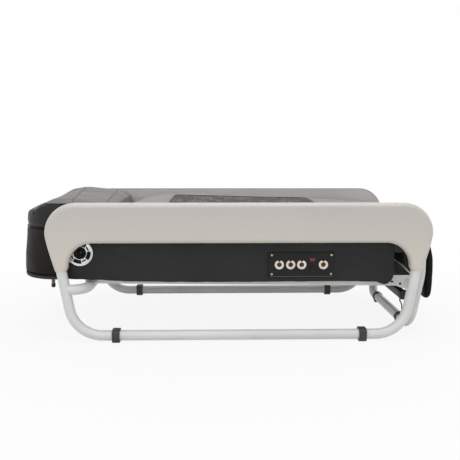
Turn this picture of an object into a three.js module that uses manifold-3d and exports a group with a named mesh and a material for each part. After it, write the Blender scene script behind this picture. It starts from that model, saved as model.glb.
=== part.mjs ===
// Roller massage bed in its short state: two tubular sled frames with moulded side rails carry an
// upholstered body. A roller carriage runs under a mesh strip, and the foot section slides out.
// Millimetres, +Z up, +X towards the foot end, -Y towards the side with the connector panel.
// The origin is under the middle of the bed, on the floor.

import * as THREE from 'three';
import { mergeVertices } from 'three/addons/utils/BufferGeometryUtils.js';
import Module from 'manifold-3d';

const wasm = await Module();
wasm.setup();

// Overall sizes and the gaps that all pieces share
const bed = { length: 1438, width: 700 };
const clearance = 0.3; // between pieces that touch
const runningGap = 2; // between pieces that slide past each other
const overrun = 4; // how far a cut runs past the face that it opens

// Side frames: a bent tube below, a moulded rail above
const frame = {
  centreX: 38, // the frames stand this far towards the foot end
  collarHalfSpan: 595,
  collarZ: 246,
  legSlantDegrees: 10,
  tubeRadius: 17.5,
  tubeInsert: 45,
  bendRadius: 110,
};
const clip = { halfSpan: 417, width: 25, sole: 5, wall: 5 };
const rail = {
  halfLength: 644,
  top: 472,
  lower: 338,
  thickness: 40,
  edgeRadius: 15,
  cornerRadius: 102,
  filletRadius: 82,
  neckHalfWidth: 19,
  neckRootInset: 5,
};
const liner = { thickness: 8, inset: 5, edge: 3 };
const crossTube = { z: 180, x: -478, bendRadius: 56 };
const saddle = { length: 44, width: 30, foot: 6, y: 215 };

// Body: covers, pan, chassis and deck
const body = {
  halfWidth: 296,
  headJointX: -560,
  footX: 567,
  deckTop: 375,
  headBottom: 206,
  footBottom: 195,
  lobeBottom: 186,
  lobeLength: 52,
  lobeRadius: 33,
  topRadius: 12,
  wall: 22,
  padEdge: 5,
  headRadius: 130,
};
const trimHeight = 12.7;
const pan = { thickness: 3, footInset: 7 };
const chassis = {
  y: 250,
  width: 30,
  headX: -448,
  footX: 590,
  headBottom: 187,
  footBottom: 175,
  member: 40,
  memberHeight: 14,
  memberShares: [0.1, 0.5, 0.8],
};
const bracket = {
  thickness: 4,
  lap: 50,
  rise: 7,
  drop: 20,
  spacerRadius: 12,
  spacerZ: 190,
  boltRadius: 7,
  boltHead: 5,
};
const deck = {
  thickness: 12,
  footX: 344,
  slotHeadX: -205,
  slotFootX: 330,
  slotHalfWidth: 130,
  slotRadius: 30,
};
const footDeck = { footX: 636, thickness: 3, flange: 33 };
const stopBolt = { x: -612, y: 225, flangeRadius: 11, flange: 4, stemRadius: 6.5, stem: 22, tipRadius: 7, tip: 14 };

// Cushions
const pillow = { length: 323, crest: 480, edgeDrop: 9, crown: 5, panelEdge: 8, sideDraw: 3 };
const mat = { footX: 640, crest: 453, gapToPillow: 2, crown: 5, sideDraw: 3, edgeDrop: 7 };
const strip = { headX: -210, footX: 335, halfWidth: 205, thickness: 4, ledge: 15, cornerRadius: 22 };

// Speaker and connector panel on the near side
const speaker = {
  x: -501,
  z: 300,
  radius: 45,
  band: 8,
  innerRadius: 26,
  innerBand: 3,
  bridge: 10,
  slotWidth: 3,
  slotLength: 6,
  thickness: 4,
  rimDepth: 1,
  boreRadius: 38,
  depth: 20,
  cone: 11,
  dustCap: 9,
};
const panel = { x: 249, z: 255.5, width: 226, height: 87, thickness: 3, cornerRadius: 4 };
const socket = {
  offsets: [-76.5, -38, -0.5, 73.5],
  z: 3,
  radius: 16,
  flange: 3,
  barrelRadius: 13.5,
  stand: 7,
  boreRadius: 10.5,
  boreDepth: 8,
  tailRadius: 9,
  tail: 30,
};
const rocker = {
  x: 37,
  z: 19,
  length: 17,
  width: 11,
  rise: 1.6,
  tiltDegrees: 8,
  bezel: 3,
  bezelStand: 1.6,
  bodyDepth: 20,
};
const fuse = { x: 36.5, z: -10.5, flangeRadius: 10, flange: 3, capRadius: 6.5, capStand: 8, boreDepth: 10, tail: 24, slot: 1.6 };
const screw = { x: 101.5, upZ: 35, downZ: -30.5, radius: 4, head: 2 };

// Roller mechanism inside the body
const beam = { headX: -398, footX: 330, thickness: 14, halfWidth: 150, top: 296 };
const guide = { radius: 8, y: 118, z: 268 };
const leadScrew = { radius: 8, shaftRadius: 6, lead: 40 };
const coupling = { radius: 14, length: 26 };
const motor = { radius: 30, length: 78, mount: 8, gearbox: 34 };
const carriage = { restX: -118, travel: 370, length: 130, halfWidth: 140, thickness: 8, lift: 10, bushLength: 34, bushWall: 6 };
const cradle = { wall: 6, halfWidth: 84, axleSpan: 76, lugRadius: 14 };
const roller = { radius: 27, width: 46, y: 36, faceRadius: 18, axleRadius: 5, axleZ: 398 };
const controlBox = { x: 249, length: 190, y: 195, width: 84, height: 62 };

// Foot section, which slides out of the body
const footSlide = { headX: 60, footInset: 7, z: 310, height: 40, depth: 18, wall: 3, railHeadX: 100, railDepth: 30, travel: 300 };
const footBoard = { headX: 352, thickness: 12, halfWidth: 251 };
const footMat = { thickness: 28, halfWidth: 228, crown: 5 };
const endPad = { bottom: 128, top: 372, thickness: 28, halfWidth: 262, cornerRadius: 26, edge: 11 };
const stand = { y: 262, x: 638, soleGap: 8, bendRadius: 60, slantDegrees: 10, kneeZ: 215, kneeRadius: 200, tubeRadius: 17.5 };
const standClip = { y: 155, width: 25, wall: 5 };
const brace = { size: 25, x: 612, z: 142 };
const braceBlock = { width: 30, height: 30 };
const lead = {
  radius: 1.9,
  route: [
    [602.5, -262, 126.2], [602.5, -262, 122.5], [605.5, -256, 117], [612, -246, 109], [617, -237, 100.5], [622, -226, 89],
    [626, -214, 77.5], [629, -203, 67], [629, -193, 59], [627, -184, 51.5], [624.5, -176, 46.5], [623.8, -168.2, 44.7],
  ],
};

// Numbers of facets
const facets = { tube: 16, bend: 7, bore: 20, round: 4, corner: 2, small: 12 };

// Colours
function finish(color, roughness, metalness) {
  return new THREE.MeshStandardMaterial({ color, roughness, metalness });
}
const looks = {
  cream: () => finish(0xd6d0c8, 0.32, 0),
  frameGrey: () => finish(0xd8dad8, 0.35, 0.2),
  chassisSilver: () => finish(0xb9bcbb, 0.4, 0.6),
  steel: () => finish(0xa8aaac, 0.3, 0.9),
  chrome: () => finish(0xe2e4e6, 0.12, 1),
  zinc: () => finish(0xb7a35c, 0.35, 0.9),
  brass: () => finish(0xc9b87a, 0.35, 0.9),
  rubber: () => finish(0x1b1b1c, 0.85, 0),
  blackPlastic: () => finish(0x1d1d1f, 0.5, 0),
  redPlastic: () => finish(0xc3221c, 0.4, 0),
  blackVinyl: () => finish(0x2c2c2d, 0.55, 0),
  headVinyl: () => finish(0x37322d, 0.5, 0),
  greyVinyl: () => finish(0x9b9995, 0.55, 0),
  mesh: () => finish(0x46443f, 0.9, 0),
  plywood: () => finish(0xb08d5c, 0.7, 0),
  jade: () => finish(0x6f9a74, 0.25, 0),
  castGrey: () => finish(0x6d7072, 0.5, 0.6),
};

const group = new THREE.Group();

function add(name, geometry, look) {
  const mesh = new THREE.Mesh(geometryOf(solidOf(geometry)), look());
  mesh.name = name;
  group.add(mesh);
}

// Solids and booleans

function solidOf(geometry) {
  const bare = new THREE.BufferGeometry();
  bare.setAttribute('position', geometry.getAttribute('position').clone());
  if (geometry.index) bare.setIndex(geometry.index.clone());
  const merged = mergeVertices(bare);
  return new wasm.Manifold(
    new wasm.Mesh({
      numProp: 3,
      vertProperties: new Float32Array(merged.getAttribute('position').array),
      triVerts: new Uint32Array(merged.index.array),
    }),
  );
}

function geometryOf(solid) {
  const data = solid.getMesh();
  const geometry = new THREE.BufferGeometry();
  geometry.setAttribute('position', new THREE.BufferAttribute(new Float32Array(data.vertProperties), 3));
  geometry.setIndex(new THREE.BufferAttribute(new Uint32Array(data.triVerts), 1));
  geometry.computeVertexNormals();
  return geometry;
}

function cut(geometry, ...tools) {
  let solid = solidOf(geometry);
  for (const tool of tools) solid = solid.subtract(solidOf(tool));
  return geometryOf(solid);
}

function join(...geometries) {
  let solid = solidOf(geometries[0]);
  for (const other of geometries.slice(1)) solid = solid.add(solidOf(other));
  return geometryOf(solid);
}

function mirrored(geometry) {
  const copy = geometry.clone().applyMatrix4(new THREE.Matrix4().makeScale(1, -1, 1));
  const index = copy.index ? copy.index.array : Array.from({ length: copy.getAttribute('position').count }, (_, i) => i);
  const flipped = [];
  for (let i = 0; i < index.length; i += 3) flipped.push(index[i], index[i + 2], index[i + 1]);
  copy.setIndex(flipped);
  return copy;
}

function bothSides(geometry) {
  return join(geometry, mirrored(geometry));
}

// Basic forms

function boxBetween(x0, x1, y0, y1, z0, z1) {
  const box = new THREE.BoxGeometry(x1 - x0, y1 - y0, z1 - z0);
  return box.translate((x0 + x1) / 2, (y0 + y1) / 2, (z0 + z1) / 2);
}

function rodBetween(from, to, radius, sides = facets.tube) {
  const along = to.clone().sub(from);
  const rod = new THREE.CylinderGeometry(radius, radius, along.length(), sides);
  const turn = new THREE.Quaternion().setFromUnitVectors(new THREE.Vector3(0, 1, 0), along.normalize());
  return rod.applyQuaternion(turn).translate((from.x + to.x) / 2, (from.y + to.y) / 2, (from.z + to.z) / 2);
}

function vector(x, y, z) {
  return new THREE.Vector3(x, y, z);
}

// A plate whose outline is drawn in X and Z, between two Y values
function plateY(shape, y0, y1, edge = 0, curveSegments = facets.round) {
  const options = { depth: y1 - y0 - 2 * edge, curveSegments, bevelEnabled: edge > 0 };
  Object.assign(options, { bevelThickness: edge, bevelSize: edge, bevelOffset: -edge, bevelSegments: 3 });
  const plate = new THREE.ExtrudeGeometry(shape, options);
  return plate.rotateX(Math.PI / 2).translate(0, y1 - edge, 0);
}

// A plate whose outline is drawn in X and Y, between two Z values
function plateZ(shape, z0, z1, edge = 0, curveSegments = facets.round) {
  const options = { depth: z1 - z0 - 2 * edge, curveSegments, bevelEnabled: edge > 0 };
  Object.assign(options, { bevelThickness: edge, bevelSize: edge, bevelOffset: -edge, bevelSegments: 3 });
  return new THREE.ExtrudeGeometry(shape, options).translate(0, 0, z0 + edge);
}

// A plate whose outline is drawn in Y and Z, between two X values
function plateX(shape, x0, x1, edge = 0, curveSegments = facets.round) {
  const options = { depth: x1 - x0 - 2 * edge, curveSegments, bevelEnabled: edge > 0 };
  Object.assign(options, { bevelThickness: edge, bevelSize: edge, bevelOffset: -edge, bevelSegments: 3 });
  const plate = new THREE.ExtrudeGeometry(shape, options);
  return plate.rotateX(Math.PI / 2).rotateZ(Math.PI / 2).translate(x0 + edge, 0, 0);
}

function roundedRectangle(x0, x1, y0, y1, radius) {
  const shape = new THREE.Shape();
  shape.moveTo(x0 + radius, y0);
  shape.lineTo(x1 - radius, y0);
  shape.absarc(x1 - radius, y0 + radius, radius, -Math.PI / 2, 0);
  shape.lineTo(x1, y1 - radius);
  shape.absarc(x1 - radius, y1 - radius, radius, 0, Math.PI / 2);
  shape.lineTo(x0 + radius, y1);
  shape.absarc(x0 + radius, y1 - radius, radius, Math.PI / 2, Math.PI);
  shape.lineTo(x0, y0 + radius);
  shape.absarc(x0 + radius, y0 + radius, radius, Math.PI, 1.5 * Math.PI);
  return shape;
}

// A path through given stations, for tubes: straight runs need one step and bends a few
class StationRoute extends THREE.Curve {
  constructor(stations) {
    super();
    this.stations = stations;
  }

  getPoint(t, target = new THREE.Vector3()) {
    const place = t * (this.stations.length - 1);
    const index = Math.min(Math.floor(place), this.stations.length - 2);
    return target.lerpVectors(this.stations[index], this.stations[index + 1], place - index);
  }

  getPointAt(t, target) {
    return this.getPoint(t, target);
  }

  getTangent(t, target = new THREE.Vector3()) {
    const last = this.stations.length - 1;
    const index = Math.round(t * last);
    const here = this.stations[index];
    const before = this.stations[Math.max(index - 1, 0)];
    const after = this.stations[Math.min(index + 1, last)];
    const into = here.clone().sub(before).normalize();
    return target.copy(after).sub(here).normalize().add(into).normalize();
  }

  getTangentAt(t, target) {
    return this.getTangent(t, target);
  }
}

// Stations of a path with corners rounded to a bend radius
function bentStations(corners, bendRadii, steps = facets.bend) {
  const stations = [corners[0].clone()];
  for (let i = 1; i < corners.length - 1; i++) {
    const corner = corners[i];
    const bendRadius = Array.isArray(bendRadii) ? bendRadii[i - 1] : bendRadii;
    const back = corners[i - 1].clone().sub(corner).normalize();
    const onward = corners[i + 1].clone().sub(corner).normalize();
    const halfAngle = back.angleTo(onward) / 2;
    const middle = back.clone().add(onward).normalize();
    const centre = corner.clone().addScaledVector(middle, bendRadius / Math.sin(halfAngle));
    const start = corner.clone().addScaledVector(back, bendRadius / Math.tan(halfAngle)).sub(centre);
    const axis = onward.clone().cross(back).normalize();
    const sweep = Math.PI - 2 * halfAngle;
    for (let k = 0; k <= steps; k++) {
      stations.push(start.clone().applyAxisAngle(axis, (sweep * k) / steps).add(centre));
    }
  }
  stations.push(corners[corners.length - 1].clone());
  return stations;
}

function tubeAlong(stations, radius, sides = facets.tube) {
  const section = [];
  for (let i = 0; i < sides; i++) {
    const angle = (2 * Math.PI * i) / sides;
    section.push(new THREE.Vector2(radius * Math.cos(angle), radius * Math.sin(angle)));
  }
  return new THREE.ExtrudeGeometry(new THREE.Shape(section), {
    steps: stations.length - 1,
    curveSegments: 1,
    bevelEnabled: false,
    extrudePath: new StationRoute(stations),
  });
}

// A smooth line of heights through shares chosen by hand
function smoothLine(shares, start, length, low, high) {
  const times = shares.map(([along]) => along);
  const values = shares.map(([, up]) => up);
  const line = new THREE.CubicInterpolant(times, values, 1, new Float32Array(1));
  return (x) => {
    const along = THREE.MathUtils.clamp((x - start) / length, 0, 1);
    return low + (high - low) * line.evaluate(along)[0];
  };
}

// A closed skin over rings of the same number of points, with a fan of facets at both ends
function loft(rings) {
  const count = rings[0].length;
  const points = rings.flat();
  const index = [];
  for (let i = 0; i < rings.length - 1; i++) {
    for (let k = 0; k < count; k++) {
      const next = (k + 1) % count;
      const [a, b, c, d] = [i * count + k, i * count + next, (i + 1) * count + next, (i + 1) * count + k];
      index.push(a, b, c, a, c, d);
    }
  }
  const last = rings.length - 1;
  for (const lid of [0, last]) {
    const middle = points.length;
    points.push(rings[lid].reduce((sum, point) => sum.clone().add(point)).divideScalar(count));
    for (let k = 0; k < count; k++) {
      const [a, b] = [lid * count + k, lid * count + ((k + 1) % count)];
      if (lid === 0) index.push(middle, b, a);
      else index.push(middle, a, b);
    }
  }
  const geometry = new THREE.BufferGeometry();
  const positions = points.flatMap((point) => [point.x, point.y, point.z]);
  geometry.setAttribute('position', new THREE.Float32BufferAttribute(positions, 3));
  geometry.setIndex(index);
  return geometry;
}

// Places worked out from the driving dimensions

const headX = -bed.length / 2;
const footX = bed.length / 2;
const sledY = bed.width / 2 - rail.thickness / 2;
const runnerZ = clip.sole + frame.tubeRadius;
const legLean = Math.tan(THREE.MathUtils.degToRad(frame.legSlantDegrees));
const linerFaceY = bed.width / 2 - rail.thickness - clearance - liner.thickness;
const coverInnerY = body.halfWidth - body.wall - clearance;
const panBottom = body.headBottom;
const panTop = panBottom + pan.thickness;
const cushionBottom = body.deckTop + clearance;
const panelFaceY = -body.halfWidth - clearance - panel.thickness;

function legPoint(end, side, z) {
  const reach = frame.collarHalfSpan - (frame.collarZ - z) * legLean;
  return vector(frame.centreX + end * reach, side * sledY, z);
}

// A cutting tool that leaves the shared clearance round a leg at a given height
function legTool(end, side, z) {
  const reach = 2 * frame.tubeRadius + overrun;
  const tool = [legPoint(end, side, z - reach), legPoint(end, side, z + reach)];
  return rodBetween(...tool, frame.tubeRadius + clearance, facets.bore);
}

// Side frames

function sledTube(side) {
  const topZ = frame.collarZ + frame.tubeInsert;
  const corners = [legPoint(-1, side, topZ), legPoint(-1, side, runnerZ), legPoint(1, side, runnerZ), legPoint(1, side, topZ)];
  return tubeAlong(bentStations(corners, frame.bendRadius), frame.tubeRadius);
}

function railOutline() {
  const { halfLength, top, lower, cornerRadius, filletRadius, neckHalfWidth, neckRootInset } = rail;
  const flankTop = top - cornerRadius;
  const flankControlShare = 0.8;
  const controlZ = frame.collarZ + (flankTop - frame.collarZ) * flankControlShare;
  const outerX = frame.collarHalfSpan + neckHalfWidth;
  const innerX = frame.collarHalfSpan - neckHalfWidth;
  const filletX = innerX - neckRootInset - filletRadius;
  const tailZ = frame.collarZ - rail.edgeRadius - overrun;
  const tailShift = (frame.collarZ - tailZ) * legLean;
  const shape = new THREE.Shape();
  shape.moveTo(outerX - tailShift, tailZ);
  shape.lineTo(outerX, frame.collarZ);
  shape.quadraticCurveTo(halfLength, controlZ, halfLength, flankTop);
  shape.absarc(halfLength - cornerRadius, flankTop, cornerRadius, 0, Math.PI / 2);
  shape.lineTo(cornerRadius - halfLength, top);
  shape.absarc(cornerRadius - halfLength, flankTop, cornerRadius, Math.PI / 2, Math.PI);
  shape.quadraticCurveTo(-halfLength, controlZ, -outerX, frame.collarZ);
  shape.lineTo(tailShift - outerX, tailZ);
  shape.lineTo(tailShift - innerX, tailZ);
  shape.lineTo(-innerX, frame.collarZ);
  shape.absarc(-filletX, lower - filletRadius, filletRadius, Math.PI, Math.PI / 2, true);
  shape.lineTo(filletX, lower);
  shape.absarc(filletX, lower - filletRadius, filletRadius, Math.PI / 2, 0, true);
  shape.lineTo(innerX, frame.collarZ);
  shape.lineTo(innerX - tailShift, tailZ);
  return shape;
}

function railCover(side) {
  const outer = bed.width / 2;
  const cover = plateY(railOutline(), -outer, rail.thickness - outer, rail.edgeRadius);
  cover.translate(frame.centreX, 0, 0);
  const lowZ = frame.collarZ - rail.edgeRadius - 2 * overrun;
  const halfSpan = rail.halfLength + overrun;
  const below = boxBetween(
    frame.centreX - halfSpan, frame.centreX + halfSpan,
    -outer - overrun, rail.thickness - outer + overrun,
    lowZ, frame.collarZ,
  );
  const bores = [-1, 1].map((end) => {
    const from = legPoint(end, -1, frame.collarZ - overrun);
    const to = legPoint(end, -1, frame.collarZ + frame.tubeInsert + clearance);
    return rodBetween(from, to, frame.tubeRadius + clearance, facets.bore);
  });
  const finished = cut(cover, below, ...bores);
  return side < 0 ? finished : mirrored(finished);
}

function railLiner(side) {
  const half = rail.halfLength - liner.inset;
  const radius = rail.cornerRadius - liner.inset;
  const lowZ = body.deckTop + runningGap;
  const top = rail.top - liner.inset;
  const lowAngle = Math.asin((lowZ - top + radius) / radius);
  const shape = new THREE.Shape();
  shape.absarc(half - radius, top - radius, radius, lowAngle, Math.PI / 2);
  shape.absarc(radius - half, top - radius, radius, Math.PI / 2, Math.PI - lowAngle);
  const plate = plateY(shape, -linerFaceY - liner.thickness, -linerFaceY, liner.edge);
  plate.translate(frame.centreX, 0, 0);
  return side < 0 ? plate : mirrored(plate);
}

// The cross tube between the head legs, with the two saddles that carry the body
function headCrossTube() {
  const startShare = 0.12;
  const corner = (side) => vector(crossTube.x, side * sledY, crossTube.z);
  const start = (side) => legPoint(-1, side, crossTube.z).lerp(corner(side), startShare);
  const corners = [start(-1), corner(-1), corner(1), start(1)];
  const tube = tubeAlong(bentStations(corners, crossTube.bendRadius), frame.tubeRadius);
  const half = saddle.length / 2;
  const block = boxBetween(
    crossTube.x - half, crossTube.x + half,
    -saddle.y - saddle.width / 2, saddle.width / 2 - saddle.y,
    crossTube.z, panBottom - clearance,
  );
  return cut(join(tube, bothSides(block)), legTool(-1, -1, crossTube.z), legTool(-1, 1, crossTube.z));
}

// A rubber clip round a tube along X or Y, drawn across the tube, with its flat sole down
function clipOutline(centre, soleZ, wall) {
  const half = frame.tubeRadius + wall;
  const cornerShare = 0.5;
  return roundedRectangle(centre - half, centre + half, soleZ, soleZ + 2 * half, half * cornerShare);
}

function runnerClip(end, side) {
  const x = frame.centreX + end * clip.halfSpan;
  const block = plateX(clipOutline(side * sledY, 0, clip.wall), x - clip.width / 2, x + clip.width / 2, 0, facets.corner);
  const reach = clip.width / 2 + overrun;
  const bore = rodBetween(
    vector(x - reach, side * sledY, runnerZ), vector(x + reach, side * sledY, runnerZ),
    frame.tubeRadius + clearance, facets.bore,
  );
  return cut(block, bore);
}

// Body

function sideCover() {
  const lowX = body.headJointX + clearance;
  const lobeX = body.footX - body.lobeLength;
  const { lobeRadius, topRadius, deckTop } = body;
  const shape = new THREE.Shape();
  shape.moveTo(lowX, body.headBottom);
  shape.lineTo(lobeX, body.footBottom);
  shape.quadraticCurveTo((lobeX + body.footX - lobeRadius) / 2, body.lobeBottom, body.footX - lobeRadius, body.lobeBottom);
  shape.absarc(body.footX - lobeRadius, body.lobeBottom + lobeRadius, lobeRadius, -Math.PI / 2, 0);
  shape.absarc(body.footX - topRadius, deckTop - topRadius, topRadius, 0, Math.PI / 2);
  shape.lineTo(lowX, deckTop);
  return plateY(shape, -body.halfWidth, body.wall - body.halfWidth, body.padEdge);
}

// What passes through the near cover behind the speaker and the panel
function nearCoverTools() {
  const from = -body.halfWidth - overrun;
  const to = body.wall - body.halfWidth + overrun;
  const bore = (x, z, radius) => rodBetween(vector(x, from, z), vector(x, to, z), radius, facets.bore);
  const tools = [bore(speaker.x, speaker.z, speaker.boreRadius)];
  for (const offset of socket.offsets) tools.push(bore(panel.x + offset, panel.z + socket.z, socket.tailRadius + clearance));
  tools.push(bore(panel.x + fuse.x, panel.z + fuse.z, fuseTailRadius() + clearance));
  const half = switchBodyHalf();
  const [x, z] = [panel.x + rocker.x, panel.z + rocker.z];
  const reach = clearance;
  tools.push(boxBetween(x - half.x - reach, x + half.x + reach, from, to, z - half.z - reach, z + half.z + reach));
  return tools;
}

function fuseTailRadius() {
  return (fuse.flangeRadius + fuse.capRadius) / 2;
}

function switchBodyHalf() {
  const throat = Math.hypot(rocker.length / 2, rocker.rise) + clearance;
  const wall = rocker.bezel / 2;
  return { x: throat + wall, z: rocker.width / 2 + clearance + wall, throat };
}

// The body's outline seen from above, drawn in from the covers' outer face
function planOutline(inset, endX) {
  const half = body.halfWidth - inset;
  const radius = body.headRadius - inset;
  const start = headX + inset;
  const shape = new THREE.Shape();
  shape.moveTo(endX, -half);
  shape.lineTo(endX, half);
  shape.absarc(start + radius, half - radius, radius, Math.PI / 2, Math.PI);
  shape.absarc(start + radius, radius - half, radius, Math.PI, 1.5 * Math.PI);
  return shape;
}

function headBand() {
  const half = body.halfWidth;
  const inner = half - body.wall;
  const radius = body.headRadius;
  const innerRadius = radius - body.wall;
  const cornerX = headX + radius;
  const shape = new THREE.Shape();
  shape.moveTo(body.headJointX, half);
  shape.absarc(cornerX, half - radius, radius, Math.PI / 2, Math.PI);
  shape.absarc(cornerX, radius - half, radius, Math.PI, 1.5 * Math.PI);
  shape.lineTo(body.headJointX, -half);
  shape.lineTo(body.headJointX, -inner);
  shape.absarc(cornerX, radius - half, innerRadius, 1.5 * Math.PI, Math.PI, true);
  shape.absarc(cornerX, half - radius, innerRadius, Math.PI, Math.PI / 2, true);
  shape.lineTo(body.headJointX, inner);
  return shape;
}

function headEndCover() {
  return plateZ(headBand(), panBottom + trimHeight + clearance, body.deckTop, body.padEdge);
}

function headEndTrim() {
  return plateZ(headBand(), panBottom, panBottom + trimHeight);
}

function basePan() {
  const plan = planOutline(body.wall + clearance, body.footX - pan.footInset);
  return plateZ(plan, panBottom, panTop);
}

function chassisFrame() {
  const top = panBottom - clearance;
  const shape = new THREE.Shape();
  shape.moveTo(chassis.headX, chassis.headBottom);
  shape.lineTo(chassis.footX, chassis.footBottom);
  shape.lineTo(chassis.footX, top);
  shape.lineTo(chassis.headX, top);
  const rails = bothSides(plateY(shape, -chassis.y - chassis.width / 2, chassis.width / 2 - chassis.y));
  const members = chassis.memberShares.map((share) => {
    const x = chassis.headX + share * (chassis.footX - chassis.headX);
    return boxBetween(x, x + chassis.member, -chassis.y, chassis.y, top - chassis.memberHeight, top);
  });
  return join(rails, ...members);
}

function bracketPlate() {
  const startX = chassis.footX - bracket.lap;
  const endX = legPoint(1, -1, bracket.spacerZ).x + bracket.spacerRadius;
  const low = chassis.footBottom + bracket.rise;
  const tip = low - bracket.drop;
  const openX = body.footX + runningGap;
  const shape = new THREE.Shape();
  shape.moveTo(startX, low);
  shape.lineTo(body.footX, low);
  shape.lineTo(endX - bracket.spacerRadius, tip);
  shape.lineTo(endX, tip + bracket.rise);
  shape.lineTo(endX, panBottom + bracket.rise);
  shape.lineTo(openX, panBottom + bracket.rise);
  shape.lineTo(openX, panBottom - clearance);
  shape.lineTo(startX, panBottom - clearance);
  return shape;
}

// One foot bracket: folded plate, spacer against the leg and its bolt head
function footBracket() {
  const inner = chassis.y + chassis.width / 2 + clearance;
  const outer = inner + bracket.thickness;
  const plate = plateY(bracketPlate(), -outer, -inner);
  const x = legPoint(1, -1, bracket.spacerZ).x;
  const middle = -inner - bracket.thickness / 2;
  const spacer = rodBetween(vector(x, middle, bracket.spacerZ), vector(x, -sledY, bracket.spacerZ), bracket.spacerRadius);
  const hexSides = 6;
  const boltX = body.footX + 3 * bracket.boltRadius;
  const boltZ = chassis.footBottom + bracket.spacerRadius;
  const bolt = rodBetween(vector(boltX, -outer - bracket.boltHead, boltZ), vector(boltX, middle, boltZ), bracket.boltRadius, hexSides);
  return cut(join(plate, spacer, bolt), legTool(1, -1, bracket.spacerZ));
}

function deckBoard() {
  const plan = planOutline(body.wall + clearance, deck.footX);
  const slot = roundedRectangle(deck.slotHeadX, deck.slotFootX, -deck.slotHalfWidth, deck.slotHalfWidth, deck.slotRadius);
  plan.holes.push(slot);
  return plateZ(plan, body.deckTop - deck.thickness, body.deckTop);
}

const slideLow = footSlide.z - footSlide.height / 2;
const slideTop = footSlide.z + footSlide.height / 2;

// The foot deck: a folded sheet that also forms the two channels for the foot section
function footDeckPlate() {
  const { thickness, flange } = footDeck;
  const [half, top, startX] = [coverInnerY, body.deckTop, deck.footX + clearance];
  const shape = new THREE.Shape();
  shape.moveTo(-half, top - flange);
  shape.lineTo(thickness - half, top - flange);
  shape.lineTo(thickness - half, top - thickness);
  shape.lineTo(half - thickness, top - thickness);
  shape.lineTo(half - thickness, top - flange);
  shape.lineTo(half, top - flange);
  shape.lineTo(half, top);
  shape.lineTo(-half, top);
  const { depth, wall } = footSlide;
  const channel = new THREE.Shape();
  channel.moveTo(-half, slideLow);
  channel.lineTo(depth - half, slideLow);
  channel.lineTo(depth - half, slideLow + wall);
  channel.lineTo(wall - half, slideLow + wall);
  channel.lineTo(wall - half, slideTop - wall);
  channel.lineTo(depth - half, slideTop - wall);
  channel.lineTo(depth - half, slideTop);
  channel.lineTo(wall - half, slideTop);
  channel.lineTo(wall - half, top - thickness);
  channel.lineTo(-half, top - thickness);
  const channels = bothSides(plateX(channel, startX, body.footX - footSlide.footInset));
  return join(plateX(shape, startX, footDeck.footX), channels);
}

// A stop bolt under the head end: flange, stem and rubber tip
function stopBoltPiece() {
  const { x, y } = stopBolt;
  const top = panBottom - clearance;
  const flangeLow = top - stopBolt.flange;
  const stemLow = flangeLow - stopBolt.stem;
  const flange = rodBetween(vector(x, -y, flangeLow), vector(x, -y, top), stopBolt.flangeRadius);
  const stem = rodBetween(vector(x, -y, stemLow), vector(x, -y, top - clearance), stopBolt.stemRadius, facets.small);
  const tip = rodBetween(vector(x, -y, stemLow - stopBolt.tip), vector(x, -y, stemLow), stopBolt.tipRadius, facets.small);
  return join(flange, stem, tip);
}

// Cushions

// Rise of the top face across a cushion, from its side to its middle, and how far along the half width
const acrossShares = [1, 0.985, 0.93, 0.8, 0.6, 0.35, 0];
const shoulderShares = [0.15, 0.55, 0.85, 0.97, 1, 1, 1];
const sideShares = [[1, 0], [0, 0.35], [0, 0.7], [0.4, 0.95]];

// One ring of a cushion across the bed: drawn-in sides, rounded shoulders and a crown
function cushionRing(x, halfWidth, bottom, top, soft) {
  const edge = top - soft.crown;
  const low = edge - soft.edgeDrop;
  const right = sideShares.map(([draw, up]) => vector(x, halfWidth - draw * soft.sideDraw, bottom + up * (low - bottom)));
  const crowned = acrossShares.map((across, i) => {
    const z = low + shoulderShares[i] * soft.edgeDrop + soft.crown * (1 - across * across);
    return vector(x, across * (halfWidth - soft.sideDraw), z);
  });
  const half = [...right, ...crowned];
  const left = half.slice(0, -1).reverse().map((point) => vector(point.x, -point.y, point.z));
  return [...half, ...left];
}

const pillowProfileShares = [
  [0, 0.24], [0.012, 0.36], [0.043, 0.5], [0.118, 0.65], [0.214, 0.8], [0.322, 0.94],
  [0.446, 0.99], [0.647, 1], [0.833, 0.98], [0.926, 0.9], [0.981, 0.71], [1, 0.43],
];
const pillowStationShares = [0, 0.012, 0.043, 0.08, 0.118, 0.165, 0.214, 0.265, 0.322, 0.39, 0.446, 0.647, 0.75, 0.833, 0.88, 0.926, 0.96, 0.981, 1];
const pillowTop = smoothLine(pillowProfileShares, headX, pillow.length, body.deckTop, pillow.crest);

function pillowHalfWidth(x) {
  const intoCorner = Math.max(headX + body.headRadius - x, 0);
  return body.halfWidth - body.headRadius + Math.sqrt(body.headRadius ** 2 - intoCorner ** 2);
}

function pillowStations() {
  return pillowStationShares.map((share) => headX + share * pillow.length);
}

// Where the boxed base ends and the top panel begins
function pillowSeam(x) {
  return pillowTop(x) - pillow.crown - pillow.edgeDrop - pillow.panelEdge;
}

function pillowBase() {
  const rings = pillowStations().map((x) => {
    const half = pillowHalfWidth(x);
    const ring = cushionRing(x, half, cushionBottom, pillowTop(x), pillow);
    return ring.map((point) => vector(point.x, point.y, Math.min(point.z, pillowSeam(x))));
  });
  return loft(rings);
}

function pillowPanel() {
  const rings = pillowStations().map((x) => cushionRing(x, pillowHalfWidth(x), pillowSeam(x) + clearance, pillowTop(x), pillow));
  return loft(rings);
}

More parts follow.
